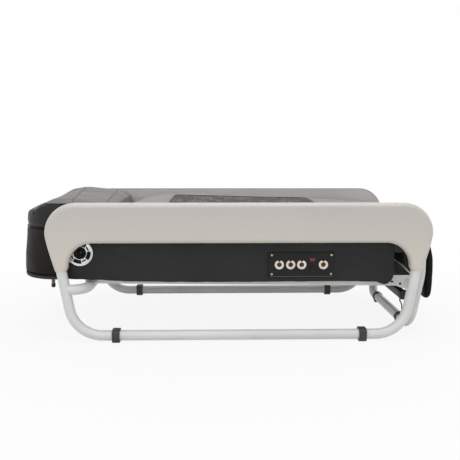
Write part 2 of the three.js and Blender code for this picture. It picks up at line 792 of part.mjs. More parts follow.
const matHeadX = headX + pillow.length + mat.gapToPillow;
const matProfileShares = [
  [0, 0.33], [0.02, 0.57], [0.055, 0.83], [0.106, 0.97], [0.176, 1], [0.277, 1], [0.384, 0.9],
  [0.44, 0.87], [0.688, 0.79], [0.825, 0.69], [0.933, 0.645], [0.972, 0.53], [0.992, 0.36], [1, 0.2],
];
const matStationShares = [
  0, 0.01, 0.02, 0.037, 0.055, 0.08, 0.106, 0.14, 0.176, 0.23, 0.277, 0.33, 0.384, 0.44, 0.52, 0.6,
  0.688, 0.76, 0.825, 0.88, 0.933, 0.955, 0.972, 0.984, 0.992, 1,
];
const matLength = mat.footX - matHeadX;
const matTop = smoothLine(matProfileShares, matHeadX, matLength, body.deckTop, mat.crest);

// The mesh strip's own top line, a little below the mat
function stripTop(x) {
  return matTop(x) - mat.crown;
}

function stripSide(grow, rise, drop) {
  const steps = 16;
  const start = strip.headX - grow;
  const length = strip.footX - strip.headX + 2 * grow;
  const line = Array.from({ length: steps + 1 }, (_, i) => start + (length * i) / steps);
  const shape = new THREE.Shape();
  shape.moveTo(start, stripTop(start) - drop);
  for (const x of line.slice(1)) shape.lineTo(x, stripTop(x) - drop);
  for (const x of line.reverse()) shape.lineTo(x, stripTop(x) + rise);
  return shape;
}

function stripPlan(grow, low, high) {
  const half = strip.halfWidth + grow;
  const plan = roundedRectangle(strip.headX - grow, strip.footX + grow, -half, half, strip.cornerRadius + grow);
  return plateZ(plan, low, high, 0, facets.round / 2);
}

function stripSolid(grow, rise, drop) {
  const half = strip.halfWidth + grow + overrun;
  const side = solidOf(plateY(stripSide(grow + overrun, rise, drop), -half, half));
  const plan = solidOf(stripPlan(grow, cushionBottom, mat.crest + 2 * overrun));
  return geometryOf(side.intersect(plan));
}

function mainMat() {
  const halfWidth = linerFaceY - clearance;
  const rings = matStationShares.map((share) => {
    const x = matHeadX + share * matLength;
    return cushionRing(x, halfWidth, cushionBottom, matTop(x), mat);
  });
  const rebate = stripSolid(clearance, 2 * mat.crown, strip.thickness + clearance);
  const through = stripPlan(-strip.ledge, cushionBottom - overrun, mat.crest + overrun);
  return cut(loft(rings), rebate, through);
}

function meshStrip() {
  return stripSolid(0, 0, strip.thickness);
}

// Speaker and connector panel

// Points of an arc in X and Z, for outlines that need their own number of facets
function arcPoints(radius, from, to, count) {
  return Array.from({ length: count + 1 }, (_, i) => {
    const angle = from + ((to - from) * i) / count;
    return new THREE.Vector2(radius * Math.cos(angle), radius * Math.sin(angle));
  });
}

function speakerRing() {
  const { radius, band, innerRadius, innerBand, bridge, slotWidth, slotLength } = speaker;
  const bridges = 4;
  const bridgeTilt = THREE.MathUtils.degToRad(-25);
  const turn = 2 * Math.PI;
  const shape = new THREE.Shape(arcPoints(radius, 0, turn, 2 * facets.tube).slice(1));
  shape.holes.push(new THREE.Path(arcPoints(innerRadius - innerBand, turn, 0, facets.tube).slice(1)));
  const outer = radius - band;
  for (let i = 0; i < bridges; i++) {
    const middle = bridgeTilt + (turn * i) / bridges;
    const next = middle + turn / bridges;
    const outerTrim = Math.asin(bridge / 2 / outer);
    const innerTrim = Math.asin(bridge / 2 / innerRadius);
    const window = arcPoints(outer, middle + outerTrim, next - outerTrim, facets.bend);
    window.push(...arcPoints(innerRadius, next - innerTrim, middle + innerTrim, facets.round));
    shape.holes.push(new THREE.Path(window));
    const along = new THREE.Vector2(Math.cos(middle), Math.sin(middle));
    const beside = new THREE.Vector2(-along.y, along.x);
    const at = along.clone().multiplyScalar((outer + innerRadius) / 2);
    const corners = [[-1, -1], [1, -1], [1, 1], [-1, 1]].map(([u, v]) =>
      at.clone().addScaledVector(along, (u * slotLength) / 2).addScaledVector(beside, (v * slotWidth) / 2),
    );
    shape.holes.push(new THREE.Path(corners));
  }
  const face = -body.halfWidth - clearance;
  return plateY(shape, face - speaker.thickness, face).translate(speaker.x, 0, speaker.z);
}

// A piece turned about an axis along Y, from points of radius and Y
function turned(points, x, z, sides = facets.tube) {
  return new THREE.LatheGeometry(points.map(([r, y]) => new THREE.Vector2(r, y)), sides).translate(x, 0, z);
}

function speakerCone() {
  const front = -body.halfWidth;
  const rim = speaker.boreRadius - 2 * clearance;
  const points = [
    [0, front + speaker.cone - speaker.dustCap / 2],
    [speaker.dustCap / 2, front + speaker.cone - speaker.dustCap / 3],
    [speaker.dustCap, front + speaker.cone],
    [rim - speaker.innerBand, front + speaker.rimDepth],
    [rim, front + speaker.rimDepth],
    [rim, front + speaker.depth],
    [0, front + speaker.depth],
  ];
  return turned(points, speaker.x, speaker.z);
}

// The connector panel, with its four screw heads
function panelPlate() {
  const { width, height, cornerRadius } = panel;
  const outline = roundedRectangle(-width / 2, width / 2, -height / 2, height / 2, cornerRadius);
  const hole = (x, z, radius) => {
    const path = new THREE.Path();
    path.absarc(x, z, radius + clearance, 0, 2 * Math.PI, true);
    outline.holes.push(path);
  };
  for (const offset of socket.offsets) hole(offset, socket.z, socket.tailRadius);
  hole(fuse.x, fuse.z, fuseTailRadius());
  const half = switchBodyHalf();
  const [x0, x1] = [rocker.x - half.x - clearance, rocker.x + half.x + clearance];
  const [z0, z1] = [rocker.z - half.z - clearance, rocker.z + half.z + clearance];
  const window = new THREE.Path();
  window.setFromPoints([[x0, z0], [x0, z1], [x1, z1], [x1, z0]].map(([x, z]) => new THREE.Vector2(x, z)));
  window.closePath();
  outline.holes.push(window);
  const plate = plateY(outline, panelFaceY, panelFaceY + panel.thickness, 0, facets.bore / 2);
  const heads = [];
  for (const end of [-1, 1]) {
    for (const z of [screw.upZ, screw.downZ]) {
      const from = vector(end * screw.x, panelFaceY - screw.head, z);
      heads.push(rodBetween(from, vector(end * screw.x, panelFaceY + panel.thickness / 2, z), screw.radius, facets.small));
    }
  }
  return join(plate, ...heads).translate(panel.x, 0, panel.z);
}

function socketPiece(offset) {
  const face = panelFaceY - clearance;
  const points = [
    [0, face - socket.stand + socket.boreDepth],
    [socket.boreRadius, face - socket.stand + socket.boreDepth],
    [socket.boreRadius, face - socket.stand],
    [socket.barrelRadius, face - socket.stand],
    [socket.barrelRadius, face - socket.flange],
    [socket.radius, face - socket.flange],
    [socket.radius, face],
    [socket.tailRadius, face],
    [socket.tailRadius, face + socket.tail],
    [0, face + socket.tail],
  ];
  return turned(points, panel.x + offset, panel.z + socket.z);
}

function switchFrame() {
  const half = switchBodyHalf();
  const face = panelFaceY - clearance;
  const rim = { x: half.x + rocker.bezel / 2, z: half.z + rocker.bezel / 2 };
  const bezel = boxBetween(-rim.x, rim.x, face - rocker.bezelStand, face, -rim.z, rim.z);
  const shell = boxBetween(-half.x, half.x, face - rocker.bezelStand / 2, face + rocker.bodyDepth, -half.z, half.z);
  const throatZ = rocker.width / 2 + clearance;
  const deepest = face + rocker.length / 2 + clearance;
  const throat = boxBetween(-half.throat, half.throat, face - overrun, deepest, -throatZ, throatZ);
  return cut(join(bezel, shell), throat).translate(panel.x + rocker.x, 0, panel.z + rocker.z);
}

function switchRocker() {
  const half = rocker.length / 2;
  const dipShare = 0.3;
  const shape = new THREE.Shape();
  shape.moveTo(half, 0);
  shape.absarc(0, 0, half, 0, Math.PI);
  shape.lineTo(-half, -rocker.rise);
  shape.lineTo(0, -rocker.rise * dipShare);
  shape.lineTo(half, -rocker.rise);
  const tilted = plateZ(shape, -rocker.width / 2, rocker.width / 2).rotateZ(THREE.MathUtils.degToRad(-rocker.tiltDegrees));
  return tilted.translate(panel.x + rocker.x, panelFaceY - clearance, panel.z + rocker.z);
}

function fuseHolder() {
  const face = panelFaceY - clearance;
  const bore = fuse.capRadius + clearance;
  const points = [
    [0, face + fuse.boreDepth],
    [bore, face + fuse.boreDepth],
    [bore, face - fuse.flange],
    [fuse.flangeRadius, face - fuse.flange],
    [fuse.flangeRadius, face],
    [fuseTailRadius(), face],
    [fuseTailRadius(), face + fuse.tail],
    [0, face + fuse.tail],
  ];
  return turned(points, panel.x + fuse.x, panel.z + fuse.z);
}

function fuseCap() {
  const face = panelFaceY - clearance;
  const front = face - fuse.capStand;
  const [x, z] = [panel.x + fuse.x, panel.z + fuse.z];
  const cap = rodBetween(vector(x, front, z), vector(x, face + fuse.boreDepth - clearance, z), fuse.capRadius, facets.bore);
  const reach = fuse.capRadius + overrun;
  const slot = boxBetween(x - reach, x + reach, front - overrun, front + fuse.slot, z - fuse.slot / 2, z + fuse.slot / 2);
  return cut(cap, slot);
}

// Roller mechanism

function endBeam(x) {
  const plate = boxBetween(x, x + beam.thickness, -beam.halfWidth, beam.halfWidth, panTop + clearance, beam.top);
  const bore = (y, radius) =>
    rodBetween(vector(x - overrun, y, guide.z), vector(x + beam.thickness + overrun, y, guide.z), radius + clearance, facets.bore);
  return cut(plate, bore(-guide.y, guide.radius), bore(guide.y, guide.radius), bore(0, leadScrew.shaftRadius));
}

function guideRod(side) {
  const [from, to] = [beam.headX, beam.footX + beam.thickness];
  return rodBetween(vector(from, side * guide.y, guide.z), vector(to, side * guide.y, guide.z), guide.radius);
}

function leadScrewRod() {
  const headFace = beam.headX + beam.thickness + clearance;
  const footFace = beam.footX - clearance;
  const thread = rodBetween(vector(headFace, 0, guide.z), vector(footFace, 0, guide.z), leadScrew.radius);
  const shaftEnds = [beam.headX - coupling.length / 2, beam.footX + beam.thickness];
  const shaft = rodBetween(vector(shaftEnds[0], 0, guide.z), vector(shaftEnds[1], 0, guide.z), leadScrew.shaftRadius);
  return join(thread, shaft);
}

function couplingEnds() {
  const foot = beam.headX - runningGap;
  return { foot, head: foot - coupling.length };
}

function shaftCoupling() {
  const ends = couplingEnds();
  const sleeve = rodBetween(vector(ends.head, 0, guide.z), vector(ends.foot, 0, guide.z), coupling.radius, facets.bore);
  const depth = beam.headX - coupling.length / 2 - clearance;
  const bore = rodBetween(vector(depth, 0, guide.z), vector(ends.foot + overrun, 0, guide.z), leadScrew.shaftRadius + clearance, facets.bore);
  const stub = rodBetween(vector(ends.head - coupling.length / 2, 0, guide.z), vector(ends.head + overrun / 2, 0, guide.z), leadScrew.shaftRadius);
  return join(cut(sleeve, bore), stub);
}

function gearMotor() {
  const ends = couplingEnds();
  const gearFoot = ends.head - runningGap;
  const gearHead = gearFoot - motor.gearbox;
  const can = rodBetween(vector(gearHead - motor.length, 0, guide.z), vector(gearHead + overrun, 0, guide.z), motor.radius, facets.bore);
  const box = boxBetween(gearHead, gearFoot, -motor.radius, motor.radius, panTop + clearance, guide.z + motor.radius);
  const foot = boxBetween(
    gearHead - motor.length, gearHead + overrun,
    -motor.radius - motor.mount, motor.radius + motor.mount,
    panTop + clearance, guide.z - motor.radius / 2,
  );
  const bore = rodBetween(
    vector(ends.head - coupling.length / 2 - clearance, 0, guide.z), vector(ends.head, 0, guide.z),
    leadScrew.shaftRadius + clearance, facets.bore,
  );
  return cut(join(can, box, foot), bore);
}

const carriagePlateLow = guide.z + guide.radius + carriage.bushWall;
const carriagePlateTop = carriagePlateLow + carriage.thickness;

// The roller carriage: a plate with four bush blocks for the guide rods and a nut for the screw
function rollerCarriage() {
  const half = carriage.length / 2;
  const { restX, halfWidth, bushLength, bushWall } = carriage;
  const outline = roundedRectangle(restX - half, restX + half, -halfWidth, halfWidth, carriage.lift);
  const plate = plateZ(outline, carriagePlateLow, carriagePlateTop, 0, facets.corner);
  const reach = guide.radius + bushWall;
  const low = guide.z - reach;
  const top = carriagePlateLow + clearance;
  const blocks = [-1, 1].map((end) => {
    const outer = restX + end * half;
    const inner = outer - end * bushLength;
    return boxBetween(Math.min(outer, inner), Math.max(outer, inner), -guide.y - reach, reach - guide.y, low, top);
  });
  const nutReach = leadScrew.radius + 2 * bushWall;
  const nut = boxBetween(restX - bushLength / 2, restX + bushLength / 2, -nutReach, nutReach, low, top);
  const bore = (y, radius) =>
    rodBetween(vector(restX - half - overrun, y, guide.z), vector(restX + half + overrun, y, guide.z), radius + clearance, facets.bore);
  const bores = [bore(-guide.y, guide.radius), bore(guide.y, guide.radius), bore(0, leadScrew.radius)];
  return cut(join(plate, nut, bothSides(join(...blocks))), ...bores);
}

function axleX(end) {
  return carriage.restX + (end * cradle.axleSpan) / 2;
}

// The roller cradle: two side plates with round lugs for the axles, on one base
function rollerCradle() {
  const low = carriagePlateTop + clearance;
  const half = carriage.length / 2;
  const waistShare = 0.45;
  const saddleZ = low + (roller.axleZ - low) * waistShare;
  const shape = new THREE.Shape();
  shape.moveTo(carriage.restX - half, low);
  shape.lineTo(carriage.restX + half, low);
  shape.absarc(axleX(1), roller.axleZ, cradle.lugRadius, 0, Math.PI);
  shape.lineTo(axleX(1) - cradle.lugRadius, saddleZ);
  shape.lineTo(axleX(-1) + cradle.lugRadius, saddleZ);
  shape.absarc(axleX(-1), roller.axleZ, cradle.lugRadius, 0, Math.PI);
  const side = plateY(shape, -cradle.halfWidth, cradle.wall - cradle.halfWidth);
  const base = boxBetween(
    carriage.restX - half, carriage.restX + half, -cradle.halfWidth, cradle.halfWidth, low, low + cradle.wall,
  );
  const bores = [-1, 1].map((end) =>
    rodBetween(
      vector(axleX(end), -cradle.halfWidth - overrun, roller.axleZ),
      vector(axleX(end), cradle.halfWidth + overrun, roller.axleZ),
      roller.axleRadius + clearance, facets.bore,
    ),
  );
  return cut(join(side, mirrored(side), base), ...bores);
}

// A steel axle with a head at each end and collars that keep the roller in the middle
function rollerAxle(end) {
  const [x, z] = [axleX(end), roller.axleZ];
  const rod = (from, to, radius) => rodBetween(vector(x, from, z), vector(x, to, z), radius, facets.tube);
  const outer = cradle.halfWidth + clearance;
  const inner = cradle.halfWidth - cradle.wall - clearance;
  const rollerEnd = roller.y + roller.width / 2 + clearance;
  const collar = 2 * roller.axleRadius;
  return join(
    rod(-outer - cradle.wall, outer + cradle.wall, roller.axleRadius),
    rod(-outer - cradle.wall, -outer, collar),
    rod(outer, outer + cradle.wall, collar),
    rod(-inner, -rollerEnd, collar),
    rod(rollerEnd, inner, collar),
  );
}

// A jade roller: two barrels side by side, with a neck between them and a bore for the axle
function jadeRoller(end) {
  const half = roller.width / 2;
  const bore = roller.axleRadius + clearance;
  const steps = 6;
  const barrel = (centre) =>
    Array.from({ length: steps + 1 }, (_, i) => {
      const share = (2 * i) / steps - 1;
      return [roller.radius - (roller.radius - roller.faceRadius) * share * share, centre + half * share];
    });
  const end0 = -roller.y - half;
  const neck = roller.faceRadius / 2;
  const points = [
    [bore, end0], ...barrel(-roller.y), [neck, half - roller.y], [neck, roller.y - half], ...barrel(roller.y),
    [bore, roller.y + half], [bore, end0],
  ];
  return turned(points, axleX(end), roller.axleZ);
}

function controlBoxCase() {
  const half = controlBox.length / 2;
  const y = -controlBox.y;
  const shape = roundedRectangle(
    controlBox.x - half, controlBox.x + half, y - controlBox.width / 2, y + controlBox.width / 2, panel.cornerRadius,
  );
  return plateZ(shape, panTop + clearance, panTop + clearance + controlBox.height);
}

// Foot section

const endPadX = footX - endPad.thickness;
const footSectionEnd = endPadX - clearance;

const footBoardLow = slideTop - footSlide.wall - overrun;
const footBoardTop = footBoardLow + footBoard.thickness;

// The foot carrier: a folded plate with a rail along each side that runs in the deck's channel
function footCarrier() {
  const outer = footSlide.wall + clearance - coverInnerY;
  const [low, top] = [slideLow + footSlide.wall + clearance, slideTop - footSlide.wall - clearance];
  const rails = bothSides(boxBetween(footSlide.railHeadX, footSectionEnd, outer, outer + footSlide.railDepth, low, top));
  const { headX: startX, halfWidth } = footBoard;
  return join(rails, boxBetween(startX, footSectionEnd, -halfWidth, halfWidth, footBoardLow, footBoardTop));
}

const footMatShares = [[0, 0.45], [0.015, 0.75], [0.05, 0.95], [0.12, 1], [0.88, 1], [0.95, 0.95], [0.985, 0.75], [1, 0.45]];

function footMatCushion() {
  const low = footBoardTop + clearance;
  const length = footSectionEnd - footBoard.headX;
  const soft = { crown: footMat.crown, edgeDrop: footMat.crown, sideDraw: mat.sideDraw };
  const rings = footMatShares.map(([along, up]) =>
    cushionRing(footBoard.headX + along * length, footMat.halfWidth, low, low + up * footMat.thickness, soft),
  );
  return loft(rings);
}

function footEndPad() {
  const { halfWidth, bottom, top, cornerRadius } = endPad;
  const shape = roundedRectangle(-halfWidth, halfWidth, bottom, top, cornerRadius);
  return plateX(shape, endPadX, footX, endPad.edge, facets.round / 2);
}

const standLean = Math.tan(THREE.MathUtils.degToRad(stand.slantDegrees));
const standLowZ = stand.soleGap + standClip.wall + stand.tubeRadius;
const standTopZ = slideLow + footSlide.wall;

function standPoint(side, z) {
  const slantZ = Math.min(z, stand.kneeZ);
  return vector(stand.x + (slantZ - standLowZ) * standLean, side * stand.y, z);
}

function footStand() {
  const corners = [
    standPoint(-1, standTopZ), standPoint(-1, stand.kneeZ), standPoint(-1, standLowZ),
    standPoint(1, standLowZ), standPoint(1, stand.kneeZ), standPoint(1, standTopZ),
  ];
  const radii = [stand.kneeRadius, stand.bendRadius, stand.bendRadius, stand.kneeRadius];
  return tubeAlong(bentStations(corners, radii, facets.bend - 1), stand.tubeRadius);
}

function standClipPiece(side) {
  const outline = clipOutline(stand.x, stand.soleGap, standClip.wall);
  const [from, to] = [side * standClip.y - standClip.width / 2, side * standClip.y + standClip.width / 2];
  const block = plateY(outline, from, to, 0, facets.corner);
  const bore = rodBetween(
    vector(stand.x, from - overrun, standLowZ), vector(stand.x, to + overrun, standLowZ),
    stand.tubeRadius + clearance, facets.bore,
  );
  return cut(block, bore);
}

// The square brace, with a block at each end that holds it to the upright
function standBrace() {
  const half = brace.size / 2;
  const { width, height } = braceBlock;
  const bar = boxBetween(brace.x - half, brace.x + half, -stand.y, stand.y, brace.z - half, brace.z + half);
  const endX = standPoint(-1, brace.z).x;
  const block = boxBetween(
    brace.x - half - runningGap, endX, -stand.y - width / 2, width / 2 - stand.y, brace.z - height / 2, brace.z + height / 2,
  );
  const tools = [-1, 1].map((side) => {
    const [low, top] = [standPoint(side, brace.z - height), standPoint(side, brace.z + height)];
    return rodBetween(low, top, stand.tubeRadius + clearance, facets.bore);
  });
  return cut(join(bar, bothSides(block)), ...tools);
}

// The thin lead from the near brace block to the near stand clip
function standLead() {
  const stepsPerSpan = 2;
  const line = new THREE.CatmullRomCurve3(lead.route.map((place) => vector(...place)));
  return tubeAlong(line.getSpacedPoints((lead.route.length - 1) * stepsPerSpan), lead.radius, facets.round);
}

// Assembly

const nearAndFar = [[-1, 'near'], [1, 'far']];
const onSide = (side, geometry) => (side < 0 ? geometry : mirrored(geometry));

for (const [side, name] of nearAndFar) {
  add('rail_cover_' + name, railCover(side), looks.cream);
  add('rail_liner_' + name, railLiner(side), looks.greyVinyl);
  add('sled_tube_' + name, sledTube(side), looks.frameGrey);
  add('runner_clip_head_' + name, runnerClip(-1, side), looks.rubber);
  add('runner_clip_foot_' + name, runnerClip(1, side), looks.rubber);
}
add('head_cross_tube', headCrossTube(), looks.frameGrey);

add('side_cover_near', cut(sideCover(), ...nearCoverTools()), looks.blackVinyl);
add('side_cover_far', mirrored(sideCover()), looks.blackVinyl);
add('head_end_cover', headEndCover(), looks.headVinyl);
add('head_end_trim', headEndTrim(), looks.rubber);
add('base_pan', basePan(), looks.chassisSilver);
add('chassis_frame', chassisFrame(), looks.chassisSilver);
add('deck_board', deckBoard(), looks.plywood);
add('foot_deck_plate', footDeckPlate(), looks.steel);
for (const [side, name] of nearAndFar) {
  add('foot_bracket_' + name, onSide(side, footBracket()), looks.chassisSilver);
  add('stop_bolt_' + name, onSide(side, stopBoltPiece()), looks.zinc);
}

add('pillow_base', pillowBase(), looks.blackVinyl);
add('pillow_panel', pillowPanel(), looks.greyVinyl);
add('main_mat', mainMat(), looks.greyVinyl);
add('mesh_strip', meshStrip(), looks.mesh);

add('speaker_ring', speakerRing(), looks.chrome);
add('speaker_cone', speakerCone(), looks.blackPlastic);
add('panel_plate', panelPlate(), looks.blackPlastic);
socket.offsets.forEach((offset, i) => add('socket_' + (i + 1), socketPiece(offset), looks.steel));
add('switch_frame', switchFrame(), looks.blackPlastic);
add('switch_rocker', switchRocker(), looks.redPlastic);
add('fuse_holder', fuseHolder(), looks.blackPlastic);
add('fuse_cap', fuseCap(), looks.blackPlastic);

add('end_beam_head', endBeam(beam.headX), looks.chassisSilver);
add('end_beam_foot', endBeam(beam.footX), looks.chassisSilver);
for (const [side, name] of nearAndFar) add('guide_rod_' + name, guideRod(side), looks.steel);
add('lead_screw', leadScrewRod(), looks.steel);
add('shaft_coupling', shaftCoupling(), looks.castGrey);
add('gear_motor', gearMotor(), looks.castGrey);
add('roller_carriage', rollerCarriage(), looks.steel);
add('roller_cradle', rollerCradle(), looks.castGrey);
add('roller_axle_head', rollerAxle(-1), looks.steel);
add('roller_axle_foot', rollerAxle(1), looks.steel);
add('roller_head', jadeRoller(-1), looks.jade);
add('roller_foot', jadeRoller(1), looks.jade);
add('control_box', controlBoxCase(), looks.blackPlastic);

add('foot_carrier', footCarrier(), looks.steel);
add('foot_mat', footMatCushion(), looks.greyVinyl);
add('foot_end_pad', footEndPad(), looks.blackVinyl);
add('foot_stand', footStand(), looks.frameGrey);
for (const [side, name] of nearAndFar) add('stand_clip_' + name, standClipPiece(side), looks.rubber);
add('stand_brace', standBrace(), looks.castGrey);
add('stand_lead', standLead(), looks.rubber);

export default group;
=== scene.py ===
import math

import bmesh
import bpy
from mathutils import Matrix, Vector, noise
from mathutils.bvhtree import BVHTree


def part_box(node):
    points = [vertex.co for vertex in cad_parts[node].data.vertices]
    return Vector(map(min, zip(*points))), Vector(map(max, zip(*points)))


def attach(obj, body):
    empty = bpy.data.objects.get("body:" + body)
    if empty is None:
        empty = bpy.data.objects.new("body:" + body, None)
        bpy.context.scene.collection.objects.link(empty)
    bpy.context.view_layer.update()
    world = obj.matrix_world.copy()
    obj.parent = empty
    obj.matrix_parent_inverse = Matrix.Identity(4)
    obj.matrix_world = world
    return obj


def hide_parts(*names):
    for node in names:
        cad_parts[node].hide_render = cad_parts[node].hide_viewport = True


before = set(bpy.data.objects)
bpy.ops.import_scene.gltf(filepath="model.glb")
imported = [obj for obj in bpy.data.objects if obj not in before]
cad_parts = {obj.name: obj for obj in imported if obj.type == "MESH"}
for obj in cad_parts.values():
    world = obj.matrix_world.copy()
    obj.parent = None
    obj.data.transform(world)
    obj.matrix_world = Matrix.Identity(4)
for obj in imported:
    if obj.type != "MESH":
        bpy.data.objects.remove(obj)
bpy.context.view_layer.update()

scene = bpy.context.scene
scene.view_settings.view_transform = "Standard"
mm = 0.001  # the values below are in millimetres

# The eye-level view from the near side, a little above the bed
view = {"place": (-46.8, -2349.9, 662.4), "yaw": 1.448, "pitch": 7.921, "roll": 0.087, "lens": 48.12}
lens = bpy.data.cameras.new("view")
lens.lens = view["lens"]
lens.sensor_width = 36
lens.clip_end = 50
eye = bpy.data.objects.new("view", lens)
scene.collection.objects.link(eye)
eye.matrix_world = (
    Matrix.Translation(Vector(view["place"]) * mm)
    @ Matrix.Rotation(math.radians(-view["yaw"]), 4, "Z")
    @ Matrix.Rotation(math.radians(90 - view["pitch"]), 4, "X")
    @ Matrix.Rotation(math.radians(view["roll"]), 4, "Z")
)
scene.camera = eye
print("camera placed")


# Node helpers

def linear(hexColour):
    parts = [int(hexColour[i:i + 2], 16) / 255 for i in (1, 3, 5)]
    return (*[c / 12.92 if c <= 0.04045 else ((c + 0.055) / 1.055) ** 2.4 for c in parts], 1.0)


def feed(tree, socket, value):
    if isinstance(value, bpy.types.NodeSocket):
        tree.links.new(value, socket)
    else:
        socket.default_value = value


def nodeOf(tree, kind, inputs=(), **settings):
    made = tree.nodes.new(kind)
    for name, value in settings.items():
        setattr(made, name, value)
    for socket, value in dict(inputs).items():
        feed(tree, made.inputs[socket], value)
    return made.outputs


def placed(tree, scale=(1, 1, 1), turn=(0, 0, 0)):
    where = nodeOf(tree, "ShaderNodeTexCoord")["Object"]
    return nodeOf(tree, "ShaderNodeMapping", {"Vector": where, "Scale": scale, "Rotation": turn})["Vector"]


def noiseOf(tree, where, scale, detail=3.0, rough=0.5):
    inputs = {"Vector": where, "Scale": scale, "Detail": detail, "Roughness": rough}
    return nodeOf(tree, "ShaderNodeTexNoise", inputs)["Fac"]


def cellsOf(tree, where, scale, feature="F1"):
    inputs = {"Vector": where, "Scale": scale}
    return nodeOf(tree, "ShaderNodeTexVoronoi", inputs, feature=feature)["Distance"]


def waveOf(tree, where, scale, direction="X", distortion=0.0, detailScale=1.0):
    inputs = {"Vector": where, "Scale": scale, "Distortion": distortion, "Detail Scale": detailScale}
    return nodeOf(tree, "ShaderNodeTexWave", inputs, bands_direction=direction)["Fac"]


def rangeOf(tree, value, low, high, first=0.0, last=1.0):
    inputs = {"Value": value, "From Min": low, "From Max": high, "To Min": first, "To Max": last}
    return nodeOf(tree, "ShaderNodeMapRange", inputs)["Result"]


def mathOf(tree, operation, first, second=0.0):
    return nodeOf(tree, "ShaderNodeMath", {0: first, 1: second}, operation=operation)["Value"]


def mixed(tree, factor, first, second):
    return nodeOf(tree, "ShaderNodeMix", {0: factor, 6: first, 7: second}, data_type="RGBA")[2]


def bumped(tree, height, distance, under=None):
    inputs = {"Distance": distance, "Height": height}
    if under is not None:
        inputs["Normal"] = under
    return nodeOf(tree, "ShaderNodeBump", inputs)["Normal"]


def heightOf(tree, axis):
    where = nodeOf(tree, "ShaderNodeTexCoord")["Object"]
    return nodeOf(tree, "ShaderNodeSeparateXYZ", {"Vector": where})[axis]


# Rays that come straight from the eye, or by way of something glossy or clear
def seenRays(tree):
    path = nodeOf(tree, "ShaderNodeLightPath")
    seen = mathOf(tree, "MAXIMUM", path["Is Camera Ray"], path["Is Glossy Ray"])
    return mathOf(tree, "MAXIMUM", seen, path["Is Transmission Ray"])


def newFinish(name):
    material = bpy.data.materials.new(name)
    material.use_nodes = True
    tree = material.node_tree
    return material, tree, tree.nodes["Principled BSDF"]


# A finish from a dictionary: two drifting tints, an optional painted-light fade along an axis
# that stands in for light or reflection, scuffs, uneven gloss and layers of relief
def layeredFinish(name, look):
    material, tree, shader = newFinish(name)
    for socket, value in look.get("sockets", {}).items():
        shader.inputs[socket].default_value = value
    where = placed(tree, look.get("stretch", (1, 1, 1)))
    drift = rangeOf(tree, noiseOf(tree, where, look["tintScale"], 4.0), 0.36, 0.64)
    colour = mixed(tree, drift, linear(look["base"]), linear(look["tint"]))
    # Painted light: a tone blended in along one axis, lighter where the real thing catches more light or
    # reflected light
    if "paintedLight" in look:
        axis, low, high, tone = look["paintedLight"]
        colour = mixed(tree, rangeOf(tree, heightOf(tree, axis), low, high), colour, linear(tone))
    if "scuff" in look:
        scale, low, high, tone = look["scuff"]
        marks = rangeOf(tree, noiseOf(tree, where, scale, 6.0, 0.65), low, high)
        colour = mixed(tree, marks, colour, linear(tone))
    feed(tree, shader.inputs["Base Color"], colour)
    smooth, dull, scale = look["rough"]
    uneven = noiseOf(tree, where, scale, 5.0)
    feed(tree, shader.inputs["Roughness"], rangeOf(tree, uneven, 0.3, 0.7, smooth, dull))
    normal = None
    for kind, scale, distance in look["relief"]:
        if kind == "cells":
            height = cellsOf(tree, where, scale)
        elif kind == "creases":
            height = mathOf(tree, "MULTIPLY", cellsOf(tree, where, scale, "DISTANCE_TO_EDGE"), -1.0)
        elif kind.startswith("wave"):
            height = waveOf(tree, where, scale, kind[-1].upper(), 0.4)
        else:
            height = noiseOf(tree, where, scale, 5.0, 0.6)
        normal = bumped(tree, height, distance, normal)
    if normal is not None:
        feed(tree, shader.inputs["Normal"], normal)
    return material


